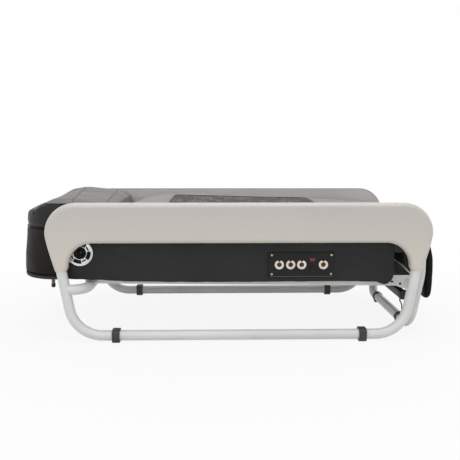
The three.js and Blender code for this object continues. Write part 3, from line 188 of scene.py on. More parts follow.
seatGrain = [("cells", 820.0, 0.00026), ("creases", 260.0, 0.00018), ("noise", 26.0, 0.0012)]
coverGrain = [("cells", 760.0, 0.00028), ("creases", 240.0, 0.0002), ("noise", 14.0, 0.0016)]
cordGrain = [("cells", 900.0, 0.0002), ("noise", 60.0, 0.0002)]
looks = {
    "railGloss": {
        "base": "#c6c1bc", "tint": "#c9c4bf", "tintScale": 3.0, "rough": (0.3, 0.315, 6.0),
        # Painted reflection: the rail's lower part is blended to a lighter, warmer tone for the light
        # thrown up from the floor
        "paintedLight": ("Z", 0.45, 0.28, "#d6cfc5"), "relief": [("noise", 700.0, 0.00002)],
        "sockets": {"Coat Weight": 0.3, "Coat Roughness": 0.24},
    },
    "tubePaint": {
        "base": "#e2e4e2", "tint": "#dadcda", "tintScale": 7.0, "rough": (0.26, 0.42, 24.0),
        "scuff": (60.0, 0.66, 0.8, "#bdbeba"),
        "relief": [("noise", 320.0, 0.00008), ("noise", 40.0, 0.0001)],
        "sockets": {"Coat Weight": 0.25, "Coat Roughness": 0.2},
    },
    "linerVinyl": {
        "base": "#bebdbc", "tint": "#c3c2c0", "tintScale": 6.0, "rough": (0.42, 0.58, 40.0),
        "relief": [("cells", 900.0, 0.00022), ("noise", 420.0, 0.00012), ("noise", 9.0, 0.0015)],
    },
    "linerPiping": {
        "base": "#72706e", "tint": "#7c7a78", "tintScale": 20.0, "rough": (0.45, 0.6, 60.0),
        "relief": cordGrain,
    },
    "greyVinyl": {
        "base": "#888582", "tint": "#908d89", "tintScale": 4.5, "rough": (0.44, 0.6, 24.0),
        "scuff": (9.0, 0.6, 0.85, "#9a958f"),
        "relief": seatGrain,
        "sockets": {"Specular IOR Level": 0.35},
    },
    # Painted shade: a darker copy of the grey vinyl, so that the pillow, which sits higher and takes more
    # light, renders as dark as the mat
    "pillowShadedVinyl": {
        "base": "#757270", "tint": "#7d7a76", "tintScale": 4.5, "rough": (0.46, 0.62, 24.0),
        "scuff": (9.0, 0.6, 0.85, "#827d79"),
        "relief": seatGrain,
        "sockets": {"Specular IOR Level": 0.3},
    },
    "weltVinyl": {
        "base": "#4a4745", "tint": "#55514e", "tintScale": 20.0, "rough": (0.5, 0.64, 60.0),
        "relief": cordGrain,
        "sockets": {"Specular IOR Level": 0.2},
    },
    "endVinyl": {
        "base": "#0b0b0c", "tint": "#101011", "tintScale": 6.0, "rough": (0.5, 0.64, 30.0),
        "relief": coverGrain,
        "sockets": {"Specular IOR Level": 0.12},
    },
    "blackVinyl": {
        "base": "#1e1e1f", "tint": "#242425", "tintScale": 6.0, "rough": (0.42, 0.56, 30.0),
        "relief": coverGrain,
        "sockets": {"Specular IOR Level": 0.28},
    },
    "headVinyl": {
        "base": "#1b1713", "tint": "#221d19", "tintScale": 5.0, "rough": (0.46, 0.6, 18.0),
        # Painted highlight: the head box's left end is blended to a lighter brown for the light that falls
        # on that end
        "paintedLight": ("X", -0.66, -0.715, "#2c2722"),
        "relief": [("cells", 760.0, 0.0003), ("creases", 200.0, 0.0002), ("noise", 18.0, 0.0022)],
        "sockets": {"Specular IOR Level": 0.16},
    },
    "trimRubber": {
        "base": "#1b1a19", "tint": "#232120", "tintScale": 12.0, "rough": (0.5, 0.7, 60.0),
        "relief": [("noise", 700.0, 0.00012), ("waveX", 300.0, 0.00008)],
    },
    "clipRubber": {
        "base": "#2f2f31", "tint": "#39393b", "tintScale": 30.0, "rough": (0.45, 0.68, 90.0),
        "scuff": (90.0, 0.62, 0.8, "#565658"),
        "relief": [("noise", 600.0, 0.00018), ("waveZ", 150.0, 0.0002)],
    },
    "blackPlastic": {
        "base": "#0a0a0b", "tint": "#101011", "tintScale": 18.0, "rough": (0.34, 0.46, 60.0),
        "relief": [("noise", 900.0, 0.00008), ("cells", 1600.0, 0.00005)],
        "sockets": {"Specular IOR Level": 0.35},
    },
    "panelBlack": {
        "base": "#0b0b0c", "tint": "#101011", "tintScale": 10.0, "rough": (0.4, 0.52, 40.0),
        "scuff": (140.0, 0.68, 0.8, "#202021"), "relief": [("noise", 1200.0, 0.00006)],
        "sockets": {"Specular IOR Level": 0.3},
    },
    "redPlastic": {
        "base": "#8c1114", "tint": "#6e0d10", "tintScale": 60.0, "rough": (0.22, 0.34, 80.0),
        "relief": [("noise", 800.0, 0.00005)], "sockets": {"Coat Weight": 0.3},
    },
    "chrome": {
        "base": "#dfe1e3", "tint": "#d3d5d8", "tintScale": 14.0, "rough": (0.06, 0.16, 30.0),
        "relief": [("noise", 300.0, 0.00003)], "sockets": {"Metallic": 1.0},
    },
    "roseSilver": {
        "base": "#eadfd5", "tint": "#dcccc0", "tintScale": 40.0, "rough": (0.16, 0.3, 60.0),
        "relief": [("noise", 500.0, 0.00004), ("waveZ", 900.0, 0.00002)], "sockets": {"Metallic": 0.6},
    },
    "silverPaint": {
        "base": "#e6e6e4", "tint": "#dbdcda", "tintScale": 9.0, "rough": (0.34, 0.5, 40.0),
        "scuff": (50.0, 0.64, 0.82, "#9b9a97"),
        "relief": [("noise", 500.0, 0.0001), ("noise", 30.0, 0.0002)],
        "sockets": {"Metallic": 0.05},
    },
    "plainSteel": {
        "base": "#b4b3b1", "tint": "#a2a19f", "tintScale": 22.0, "rough": (0.24, 0.4, 70.0),
        "stretch": (0.3, 2.0, 2.0), "relief": [("noise", 400.0, 0.00008)], "sockets": {"Metallic": 1.0},
    },
    "zincYellow": {
        "base": "#b7a05a", "tint": "#9c9268", "tintScale": 60.0, "rough": (0.28, 0.42, 90.0),
        "scuff": (120.0, 0.55, 0.75, "#8c8f8a"), "relief": [("noise", 500.0, 0.0001)],
        "sockets": {"Metallic": 0.9},
    },
    "brassPale": {
        "base": "#d2cf9b", "tint": "#c0bb84", "tintScale": 90.0, "rough": (0.22, 0.34, 90.0),
        "relief": [("noise", 700.0, 0.00005)], "sockets": {"Metallic": 0.9},
    },
    "castGrey": {
        "base": "#6a6d6f", "tint": "#5f6264", "tintScale": 26.0, "rough": (0.45, 0.62, 60.0),
        "relief": [("noise", 260.0, 0.0004), ("cells", 500.0, 0.0001)], "sockets": {"Metallic": 0.6},
    },
    "padCloth": {
        "base": "#151413", "tint": "#24211e", "tintScale": 34.0, "rough": (0.7, 0.85, 80.0),
        "scuff": (46.0, 0.58, 0.74, "#4a4540"),
        "relief": [("waveX", 420.0, 0.0003), ("waveY", 420.0, 0.0003), ("noise", 38.0, 0.006)],
        "sockets": {"Sheen Weight": 0.1, "Specular IOR Level": 0.3},
    },
    "braceGreen": {
        "base": "#2c322e", "tint": "#353b36", "tintScale": 20.0, "rough": (0.4, 0.56, 60.0),
        "scuff": (70.0, 0.62, 0.8, "#4b4f4a"), "relief": [("noise", 400.0, 0.0001)],
    },
    "jadeStone": {
        "base": "#5d8a66", "tint": "#8fae86", "tintScale": 38.0, "rough": (0.12, 0.22, 40.0),
        "scuff": (70.0, 0.56, 0.74, "#b8c9a8"), "relief": [("noise", 90.0, 0.00006)],
        "sockets": {"Coat Weight": 0.5, "Coat Roughness": 0.08},
    },
    "leadJacket": {
        "base": "#131314", "tint": "#1c1c1d", "tintScale": 90.0, "rough": (0.36, 0.5, 200.0),
        "relief": [("noise", 1500.0, 0.00006)],
    },
}


# Ply faces with grain along X, plies showing at the edges
def plyFinish(name):
    material, tree, shader = newFinish(name)
    along = placed(tree, (1.6, 14, 14))
    rings = waveOf(tree, along, 3.0, "Y", 5.0, 1.4)
    fibre = noiseOf(tree, placed(tree, (12, 260, 260)), 1.0, 6.0, 0.7)
    colour = mixed(tree, rangeOf(tree, rings, 0.2, 0.8), linear("#b89468"), linear("#a37d50"))
    colour = mixed(tree, rangeOf(tree, fibre, 0.4, 0.7), colour, linear("#8f6a41"))
    plies = waveOf(tree, placed(tree), 160.0, "Z", 0.3)
    colour = mixed(tree, rangeOf(tree, plies, 0.8, 0.95, 0.0, 0.35), colour, linear("#7c5a36"))
    feed(tree, shader.inputs["Base Color"], colour)
    feed(tree, shader.inputs["Roughness"], rangeOf(tree, fibre, 0.3, 0.7, 0.55, 0.75))
    feed(tree, shader.inputs["Normal"], bumped(tree, fibre, 0.0003))
    return material


# The strip's woven mesh: a fine grid of threads with lighter streaks worked in
def meshFinish(name):
    material, tree, shader = newFinish(name)
    shader.inputs["Specular IOR Level"].default_value = 0.2
    where = placed(tree)
    warp = waveOf(tree, where, 95.0, "X")
    weft = waveOf(tree, where, 95.0, "Y")
    weave = mathOf(tree, "MAXIMUM", warp, weft)
    streaks = noiseOf(tree, placed(tree, (60, 22, 30), (0, 0, 0.7)), 1.0, 3.0, 0.65)
    patches = noiseOf(tree, placed(tree, (16, 7, 9), (0, 0, 0.4)), 1.0, 2.0)
    streaks, patches = rangeOf(tree, streaks, 0.47, 0.56), rangeOf(tree, patches, 0.4, 0.52)
    worked = mathOf(tree, "MULTIPLY", streaks, patches)
    colour = mixed(tree, rangeOf(tree, weave, 0.25, 0.8), linear("#1d1b19"), linear("#4c4946"))
    colour = mixed(tree, mathOf(tree, "MULTIPLY", worked, 0.75), colour, linear("#78746f"))
    feed(tree, shader.inputs["Base Color"], colour)
    feed(tree, shader.inputs["Roughness"], rangeOf(tree, weave, 0.0, 1.0, 0.8, 0.55))
    relief = bumped(tree, weave, 0.0006)
    feed(tree, shader.inputs["Normal"], bumped(tree, worked, 0.0008, relief))
    return material


finish = {name: layeredFinish(name, look) for name, look in looks.items()}
finish["plywood"] = plyFinish("plywood")
finish["stripMesh"] = meshFinish("stripMesh")
print("finishes ready:", len(finish))


# Mesh helpers

def shaded(mesh, angle=40):
    for polygon in mesh.polygons:
        polygon.use_smooth = True
    mesh.set_sharp_from_angle(angle=math.radians(angle))


def tidied(mesh):
    work = bmesh.new()
    work.from_mesh(mesh)
    bmesh.ops.remove_doubles(work, verts=work.verts, dist=0.01 * mm)
    bmesh.ops.recalc_face_normals(work, faces=work.faces)
    work.to_mesh(mesh)
    work.free()
    return mesh


def piece(name, mesh, material, body, stands=(), angle=40):
    mesh.name = name
    mesh.materials.clear()
    mesh.materials.append(finish[material])
    if angle:
        shaded(mesh, angle)
    made = bpy.data.objects.new(name, mesh)
    scene.collection.objects.link(made)
    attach(made, body)
    if stands:
        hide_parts(*stands)
    return made


def cushion(name, mesh, material, body, stands, angle=0):
    made = piece(name, mesh, material, body, stands, angle)
    return made


def meshOf(points, faces):
    mesh = bpy.data.meshes.new("work")
    mesh.from_pydata([tuple(point) for point in points], [], faces)
    return tidied(mesh)


# A sheet of four-sided faces through a grid of points
def gridMesh(grid):
    wide = len(grid[0])
    faces = [
        (i * wide + j, (i + 1) * wide + j, (i + 1) * wide + j + 1, i * wide + j + 1)
        for i in range(len(grid) - 1) for j in range(wide - 1)
    ]
    mesh = bpy.data.meshes.new("work")
    mesh.from_pydata([tuple(point) for row in grid for point in row], [], faces)
    return mesh


def evaluatedMesh(made):
    bpy.context.view_layer.update()
    graph = bpy.context.evaluated_depsgraph_get()
    mesh = bpy.data.meshes.new_from_object(made.evaluated_get(graph))
    bpy.data.objects.remove(made)
    return mesh


def held(mesh, *kinds):
    carrier = bpy.data.objects.new("work", mesh)
    scene.collection.objects.link(carrier)
    for kind, settings in kinds:
        modifier = carrier.modifiers.new(kind.lower(), kind)
        for name, value in settings.items():
            setattr(modifier, name, value)
    return carrier


# Corners rounded to a bend radius, as points along the middle line
def bentLine(corners, radii, steps=12):
    corners = [Vector(corner) for corner in corners]
    if not isinstance(radii, (list, tuple)):
        radii = [radii] * (len(corners) - 2)
    line = [corners[0]]
    for before, corner, after, radius in zip(corners, corners[1:], corners[2:], radii):
        into, out = (corner - before).normalized(), (after - corner).normalized()
        sweep = into.angle(out)
        axis = into.cross(out).normalized()
        start = corner - into * radius * math.tan(sweep / 2)
        centre = start + axis.cross(into).normalized() * radius
        for k in range(steps + 1):
            line.append(centre + Matrix.Rotation(sweep * k / steps, 3, axis) @ (start - centre))
    line.append(corners[-1])
    return line


def framesAlong(line):
    tangents = []
    for k in range(len(line)):
        before, after = line[max(k - 1, 0)], line[min(k + 1, len(line) - 1)]
        tangents.append((after - before).normalized())
    across = tangents[0].orthogonal().normalized()
    frames = []
    for tangent in tangents:
        across = (across - tangent * across.dot(tangent)).normalized()
        frames.append((across, tangent.cross(across).normalized()))
    return frames


def loftMesh(rings, closed=False):
    count = len(rings[0])
    points = [point for ring in rings for point in ring]
    faces = []
    for k in range(len(rings) if closed else len(rings) - 1):
        here, there = k * count, ((k + 1) % len(rings)) * count
        for i in range(count):
            j = (i + 1) % count
            faces.append((here + i, here + j, there + j, there + i))
    if not closed:
        for start, ring in ((0, rings[0]), ((len(rings) - 1) * count, rings[-1])):
            points.append(sum(ring, Vector()) / count)
            middle = len(points) - 1
            faces += [(start + i, start + (i + 1) % count, middle) for i in range(count)]
    return meshOf(points, faces)


def tubeMesh(line, radius, sides=36, closed=False):
    line = [Vector(point) * mm for point in line]
    rings, angles = [], [2 * math.pi * i / sides for i in range(sides)]
    for point, (across, up) in zip(line, framesAlong(line)):
        rings.append([point + (across * math.cos(a) + up * math.sin(a)) * radius * mm for a in angles])
    return loftMesh(rings, closed)


def arc(centre, radius, first, last, steps):
    angles = [math.radians(first + (last - first) * k / steps) for k in range(steps + 1)]
    return [(centre[0] + radius * math.cos(a), centre[1] + radius * math.sin(a)) for a in angles]


def roundedBox(x0, x1, z0, z1, radius, steps=8):
    left, right, low, high = x0 + radius, x1 - radius, z0 + radius, z1 - radius
    corners = ((right, low, -90), (right, high, 0), (left, high, 90), (left, low, 180))
    return [point for x, z, first in corners for point in arc((x, z), radius, first, first + 90, steps)]


# A rounded box about a middle point
def boxAbout(x, z, wide, high, radius, steps=8):
    return roundedBox(x - wide / 2, x + wide / 2, z - high / 2, z + high / 2, radius, steps)


# A plate drawn in X and Z, from y0 to y1, with rounded edges all round and in its holes
def plateMesh(outline, y0, y1, edge=0.0, holes=(), steps=6):
    drawn = bpy.data.curves.new("work", "CURVE")
    drawn.dimensions = "2D"
    drawn.fill_mode = "BOTH"
    drawn.extrude = ((y1 - y0) / 2 - edge) * mm
    drawn.bevel_depth = edge * mm
    drawn.bevel_resolution = steps
    drawn.offset = -edge * mm
    for loop in (outline, *holes):
        spline = drawn.splines.new("POLY")
        spline.points.add(len(loop) - 1)
        for point, (x, z) in zip(spline.points, loop):
            point.co = (x * mm, z * mm, 0, 1)
        spline.use_cyclic_u = True
    carrier = bpy.data.objects.new("work", drawn)
    scene.collection.objects.link(carrier)
    mesh = evaluatedMesh(carrier)
    mesh.transform(Matrix.Translation((0, (y0 + y1) / 2 * mm, 0)) @ Matrix.Rotation(math.pi / 2, 4, "X"))
    return tidied(mesh)


# A piece turned about an axis along Y, from its front towards the back
def turnedMesh(profile, x, z, sides=48):
    rings, angles = [], [2 * math.pi * i / sides for i in range(sides)]
    for radius, y in profile:
        radius = max(radius, 0.01)
        circle = [(x + radius * math.cos(a), y, z + radius * math.sin(a)) for a in angles]
        rings.append([Vector(point) * mm for point in circle])
    return loftMesh(rings)


def bothSides(mesh):
    other = mesh.copy()
    other.transform(Matrix.Scale(-1, 4, (0, 1, 0)))
    return mesh, tidied(other)


def joined(*meshes):
    work = bmesh.new()
    for mesh in meshes:
        work.from_mesh(mesh)
    mesh = bpy.data.meshes.new("work")
    work.to_mesh(mesh)
    work.free()
    return mesh


# A smooth line through a table of places and heights
def easedTable(table, at):
    at = min(max(at, table[0][0]), table[-1][0])
    k = max(i for i in range(len(table) - 1) if table[i][0] <= at)
    slopes = []
    for i in (k, k + 1):
        before, after = table[max(i - 1, 0)], table[min(i + 1, len(table) - 1)]
        slopes.append((after[1] - before[1]) / (after[0] - before[0]))
    (a, u), (b, v) = table[k], table[k + 1]
    t, span = (at - a) / (b - a), b - a
    height = (2 * t ** 3 - 3 * t * t + 1) * u + (3 * t * t - 2 * t ** 3) * v
    return height + span * ((t ** 3 - 2 * t * t + t) * slopes[0] + (t ** 3 - t * t) * slopes[1])


# How far a rounded edge draws in at a distance from the rim
def tuckAt(edge, rim):
    return edge - math.sqrt(max(edge ** 2 - max(edge - rim, 0) ** 2, 0))


def softStep(value, low, high):
    share = min(max((value - low) / (high - low), 0), 1)
    return share * share * (3 - 2 * share)


# A CAD node that keeps its shape: its loose triangles are welded and its edges softened
def finishCad(nodeName, material, soften):
    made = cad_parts[nodeName]
    made.data.materials.clear()
    made.data.materials.append(finish[material])
    weld = made.modifiers.new("weld", "WELD")
    weld.merge_threshold = 0.02 * mm
    if soften:
        bevel = made.modifiers.new("bevel", "BEVEL")
        bevel.width = soften * mm
        bevel.segments = 2
        bevel.limit_method = "ANGLE"
        bevel.angle_limit = math.radians(32)


# Side frames

pair = ((-1, "near"), (1, "far"))
sled = {
    "centreX": 38, "halfSpan": 595, "collarZ": 246, "slant": 10, "radius": 17.5, "insert": 40,
    "bend": 110, "runnerZ": 22.5, "y": 330,
}


def legPoint(end, side, z):
    reach = sled["halfSpan"] - (sled["collarZ"] - z) * math.tan(math.radians(sled["slant"]))
    return Vector((sled["centreX"] + end * reach, side * sled["y"], z))


for side, label in pair:
    topZ = sled["collarZ"] + sled["insert"]
    corners = [legPoint(-1, side, topZ), legPoint(-1, side, sled["runnerZ"])]
    corners += [legPoint(1, side, sled["runnerZ"]), legPoint(1, side, topZ)]
    mesh = tubeMesh(bentLine(corners, sled["bend"], 20), sled["radius"])
    piece("sledTube" + label.capitalize(), mesh, "tubePaint", "bed", ["sled_tube_" + label])

rail = {
    "half": 644, "top": 472, "lower": 338, "thickness": 40, "edge": 15, "corner": 102, "fillet": 82,
    "neck": 19, "inset": 5, "controlShare": 0.8, "tail": 40, "face": -350,
}


def quadratic(start, control, end):
    points = []
    for k in range(15):
        t = k / 14
        u, v, w = (1 - t) ** 2, 2 * t * (1 - t), t * t
        points.append(tuple(u * a + v * b + w * c for a, b, c in zip(start, control, end)))
    return points


def railOutline():
    flankTop = rail["top"] - rail["corner"]
    controlZ = sled["collarZ"] + (flankTop - sled["collarZ"]) * rail["controlShare"]
    outer, inner = sled["halfSpan"] + rail["neck"], sled["halfSpan"] - rail["neck"]
    filletX = inner - rail["inset"] - rail["fillet"]
    tailZ = sled["collarZ"] - rail["tail"]
    shift = rail["tail"] * math.tan(math.radians(sled["slant"]))
    half = [(outer - shift, tailZ)]
    half += quadratic((outer, sled["collarZ"]), (rail["half"], controlZ), (rail["half"], flankTop))
    half += arc((rail["half"] - rail["corner"], flankTop), rail["corner"], 0, 90, 24)[1:]
    under = arc((filletX, rail["lower"] - rail["fillet"]), rail["fillet"], 90, 0, 24)
    under += [(inner, sled["collarZ"]), (inner - shift, tailZ)]
    left = [(-x, z) for x, z in reversed(half)]
    return half + left + [(-x, z) for x, z in reversed(under)] + under


def railMesh():
    outline = [(sled["centreX"] + x, z) for x, z in railOutline()]
    mesh = plateMesh(outline, rail["face"], rail["face"] + rail["thickness"], rail["edge"], steps=8)
    work = bmesh.new()
    work.from_mesh(mesh)
    everything = work.verts[:] + work.edges[:] + work.faces[:]
    plane = (0, 0, sled["collarZ"] * mm)
    cut = bmesh.ops.bisect_plane(
        work, geom=everything, plane_co=plane, plane_no=(0, 0, 1), clear_inner=True,
    )
    edges = [item for item in cut["geom_cut"] if isinstance(item, bmesh.types.BMEdge)]
    bmesh.ops.edgeloop_fill(work, edges=edges)
    work.to_mesh(mesh)
    work.free()
    return tidied(mesh)


for mesh, label in zip(bothSides(railMesh()), ("near", "far")):
    name = "railCover" + label.capitalize()
    made = piece(name, mesh, "railGloss", "bed", ["rail_cover_" + label], 50)
    made.modifiers.new("flat", "WEIGHTED_NORMAL").keep_sharp = True

liner = {
    "half": 639, "radius": 97, "low": 377, "face": 301.7, "thickness": 8, "edge": 3,
    "tops": {"near": 469, "far": 474.5}, "bead": 1.3, "beadIn": 1.0, "beadDrop": 1.2,
}
for side, label in pair:
    top = liner["tops"][label] - liner["radius"]
    lowAngle = math.degrees(math.asin((liner["low"] - top) / liner["radius"]))
    inside = liner["half"] - liner["radius"]
    right = arc((sled["centreX"] + inside, top), liner["radius"], lowAngle, 90, 20)
    left = arc((sled["centreX"] - inside, top), liner["radius"], 90, 180 - lowAngle, 20)
    thin = liner["thickness"] / 2
    middle = side * (liner["face"] + thin)
    mesh = plateMesh(right + left, middle - thin, middle + thin, liner["edge"])
    name = "railLiner" + label.capitalize()
    made = piece(name, mesh, "linerVinyl", "bed", ["rail_liner_" + label])
    made.modifiers.new("flat", "WEIGHTED_NORMAL").keep_sharp = True
    y = side * (liner["face"] + liner["beadIn"])
    line = [(x, y, z - liner["beadDrop"]) for x, z in right[2:] + left[:-2]]
    piece(name + "Piping", tubeMesh(line, liner["bead"], 10), "linerPiping", "bed")
print("side frames made")

cross = {"x": -478, "z": 180, "bend": 56, "startShare": 0.12}
nearCorner, farCorner = (Vector((cross["x"], side * sled["y"], cross["z"])) for side in (-1, 1))
corners = [legPoint(-1, -1, cross["z"]).lerp(nearCorner, cross["startShare"]), nearCorner, farCorner]
corners += [legPoint(-1, 1, cross["z"]).lerp(farCorner, cross["startShare"])]
crossMesh = tubeMesh(bentLine(corners, cross["bend"], 16), sled["radius"])
saddle = {"length": 44, "width": 30, "y": 215, "rise": 2, "top": 205.7, "corner": 4, "edge": 1.2}
for y in (-saddle["y"], saddle["y"]):
    half, wide, low = saddle["length"] / 2, saddle["width"] / 2, cross["z"] + saddle["rise"]
    outline = roundedBox(cross["x"] - half, cross["x"] + half, low, saddle["top"], saddle["corner"])
    crossMesh = joined(crossMesh, plateMesh(outline, y - wide, y + wide, saddle["edge"]))
piece("headCrossTube", crossMesh, "tubePaint", "bed", ["head_cross_tube"])

# The upholstered body

body = {
    "half": 296, "wall": 22, "headJoint": -559.7, "foot": 567, "top": 375, "lobeLow": 186,
    "lobeLength": 52, "lobeRadius": 33, "topRadius": 12, "edge": 5, "headX": -719, "headRadius": 130,
    "wave": 1.3, "waveScale": 9.0, "hemWave": 1.2, "hemScale": 0.022, "hemReach": 22, "skin": 0.2,
    "hang": [
        (-559.7, 210), (-452, 205.5), (-334, 200), (-97, 196.5), (245, 197), (382, 197.5), (515, 195.5),
    ],
}
speaker = {"x": -501, "z": 300, "radius": 45, "bore": 38, "boreFrom": -305, "boreTo": -265}


def coverLow(x):
    lobeX = body["foot"] - body["lobeLength"]
    if x <= lobeX:
        return easedTable(body["hang"], x)
    flatX = body["foot"] - body["lobeRadius"]
    if x <= flatX:
        share, start = (x - lobeX) / (flatX - lobeX), body["hang"][-1][1]
        return start + (body["lobeLow"] - start) * share * (2 - share)
    drop = math.sqrt(max(body["lobeRadius"] ** 2 - (x - flatX) ** 2, 0))
    return body["lobeLow"] + body["lobeRadius"] - drop


def coverTop(x):
    flatX = body["foot"] - body["topRadius"]
    if x <= flatX:
        return body["top"]
    return body["top"] - body["topRadius"] + math.sqrt(max(body["topRadius"] ** 2 - (x - flatX) ** 2, 0))


def coverRing(x, drawIn):
    low, top = coverLow(x) + drawIn, coverTop(x) - drawIn
    edge, front, back = body["edge"], -body["half"] + drawIn, -body["half"] + body["wall"] - drawIn
    ring = []
    for k in range(25):
        share = k / 24
        z = low + edge + (top - low - 2 * edge) * share
        soft = noise.noise(Vector((x, 0, z)) * mm * body["waveScale"]) * body["wave"]
        ring.append(Vector((x, front + max(soft, 0) + body["skin"], z)))
    ring += [Vector((x, front + edge - y, top - edge + z)) for y, z in arc((0, 0), edge, 30, 90, 3)]
    ring += [Vector((x, back, top)), Vector((x, back, low))]
    ring += [Vector((x, front + edge - y, low + edge + z)) for y, z in arc((0, 0), edge, 270, 330, 3)]
    for point in ring:
        hem = noise.noise(Vector((x * body["hemScale"], 3, 0))) * body["hemWave"]
        point.z += hem * max(0, 1 - (point.z - low) / body["hemReach"])
    return [point * mm for point in ring]


def coverMesh():
    start, end = body["headJoint"], body["foot"]
    stations = [(start, 1.5), (start + 0.5, 0.5), (start + 1.5, 0)]
    stations += [(start + 10 * k, 0) for k in range(1, int((end - start - 34) / 10))]
    stations += [(end - body["lobeRadius"] * (1 - math.sin(math.radians(a))), 0) for a in range(0, 86, 7)]
    stations += [(end - 0.3, 0.6), (end, 2.5)]
    return loftMesh([coverRing(x, drawIn) for x, drawIn in stations])


def bored(mesh, tool):
    target, cutter = held(mesh), held(tool)
    bore = target.modifiers.new("bore", "BOOLEAN")
    bore.object = cutter
    bore.solver = "EXACT"
    result = evaluatedMesh(target)
    bpy.data.objects.remove(cutter)
    return tidied(result)


coverNear, coverFar = bothSides(coverMesh())
tool = [(speaker["bore"], speaker["boreFrom"]), (speaker["bore"], speaker["boreTo"])]
coverNear = bored(coverNear, turnedMesh(tool, speaker["x"], speaker["z"], 64))
for mesh, label in ((coverNear, "near"), (coverFar, "far")):
    name = "sideCover" + label.capitalize()
    cushion(name, mesh, "blackVinyl", "bed", ["side_cover_" + label], 40)

# The head end's box, drawn in plan, with a soft outer face that gathers towards its seams
headBox = {
    "low": 219, "high": 383, "endX": -560, "bulge": 3.0, "edge": 8, "drawnIn": (0.5, 11.0), "crease": 1.0,
    "creaseScales": (0.012, 0.03), "pucker": 0.9, "puckerScale": 0.32, "puckerReach": 14,
}


def headPlan(offset):
    radius, half = body["headRadius"] - offset, body["half"] - offset
    centreX, end = body["headX"] + body["headRadius"], headBox["endX"]
    plan = [(end + (centreX - end) * k / 3, -half) for k in range(3)]
    plan += arc((centreX, body["headRadius"] - body["half"]), radius, 270, 180, 22)
    straight = body["half"] - body["headRadius"]
    plan += [(body["headX"] + offset, -straight + 2 * straight * k / 26) for k in range(1, 26)]
    plan += arc((centreX, straight), radius, 180, 90, 22)
    plan += [(centreX + (end - centreX) * (k + 1) / 3, half) for k in range(3)]
    return plan


# The head end is drawn in a little more towards its top
def tautAt(z, normal):
    low, high = headBox["drawnIn"]
    reach = low + (high - low) * softStep(z, headBox["low"], headBox["high"])
    return reach * max(-normal.x, 0) ** 0.5


# Points round the box with the wall's inner point and the way out at each
def planPoints(offset):
    for (x, y), (xIn, yIn) in zip(headPlan(offset), headPlan(body["wall"])):
        yield x, y, xIn, yIn, Vector((x - xIn, y - yIn, 0)).normalized()


def headBoxMesh():
    outer, rings, travelled = headPlan(0), [], 0
    low, high, (alongScale, upScale) = headBox["low"], headBox["high"], headBox["creaseScales"]
    for k, (x, y, xIn, yIn, normal) in enumerate(planPoints(0)):
        if k:
            travelled += math.dist(outer[k - 1], outer[k])
        ends = min(1, 6 * min(k, len(outer) - 1 - k) / len(outer))
        ring = []
        for i in range(19):
            share = i / 18
            z = low + (high - low) * share
            rim = min(share, 1 - share) * (high - low)
            swell = headBox["bulge"] * (math.sin(math.pi * share) ** 0.7 - 1)
            gather = math.sin(travelled * headBox["puckerScale"]) * math.exp(-rim / headBox["puckerReach"])
            crease = headBox["crease"] * noise.noise(Vector((travelled * alongScale, z * upScale, 2)))
            out = (swell + headBox["pucker"] * gather + crease) * ends
            out -= tuckAt(headBox["edge"], rim) + tautAt(z, normal)
            ring.append((Vector((x, y, z)) + normal * out) * mm)
        ring += [Vector((xIn, yIn, high - 1)) * mm, Vector((xIn, yIn, low + 1)) * mm]
        rings.append(ring)
    return loftMesh(rings)


cushion("headEndCover", headBoxMesh(), "headVinyl", "bed", ["head_end_cover"], 60)
piping = {"radius": 2.2, "out": 4.0}
for label, z in (("Top", headBox["high"] - 1), ("Low", headBox["low"] + 1.5)):
    line = [Vector((x, y, z)) - out * tautAt(z, out) for x, y, _, _, out in planPoints(piping["out"])]
    mesh = tubeMesh(line, piping["radius"], 12)
    piece("headPiping" + label, mesh, "headVinyl", "bed")
trim = {"low": 206, "high": 218.6, "edge": 4.5, "tuckIn": 5.0, "behind": 1.2}
rings = []
for x, y, xIn, yIn, normal in planPoints(0):
    taut = tautAt(trim["high"], normal) + trim["behind"]
    ring = []
    for i in range(11):
        share = i / 10
        z = trim["low"] + (trim["high"] - trim["low"]) * share
        rim = min(share, 1 - share) * (trim["high"] - trim["low"])
        into = taut + tuckAt(trim["edge"], rim) + trim["tuckIn"] * (1 - share) ** 2
        ring.append((Vector((x, y, z)) - normal * into) * mm)
    ring += [Vector((xIn, yIn, trim["high"])) * mm, Vector((xIn, yIn, trim["low"])) * mm]
    rings.append(ring)
piece("headEndTrim", loftMesh(rings), "trimRubber", "bed", ["head_end_trim"], 60)
print("covers made")


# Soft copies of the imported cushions: remeshed, blown up a little as cloth, kept in their place

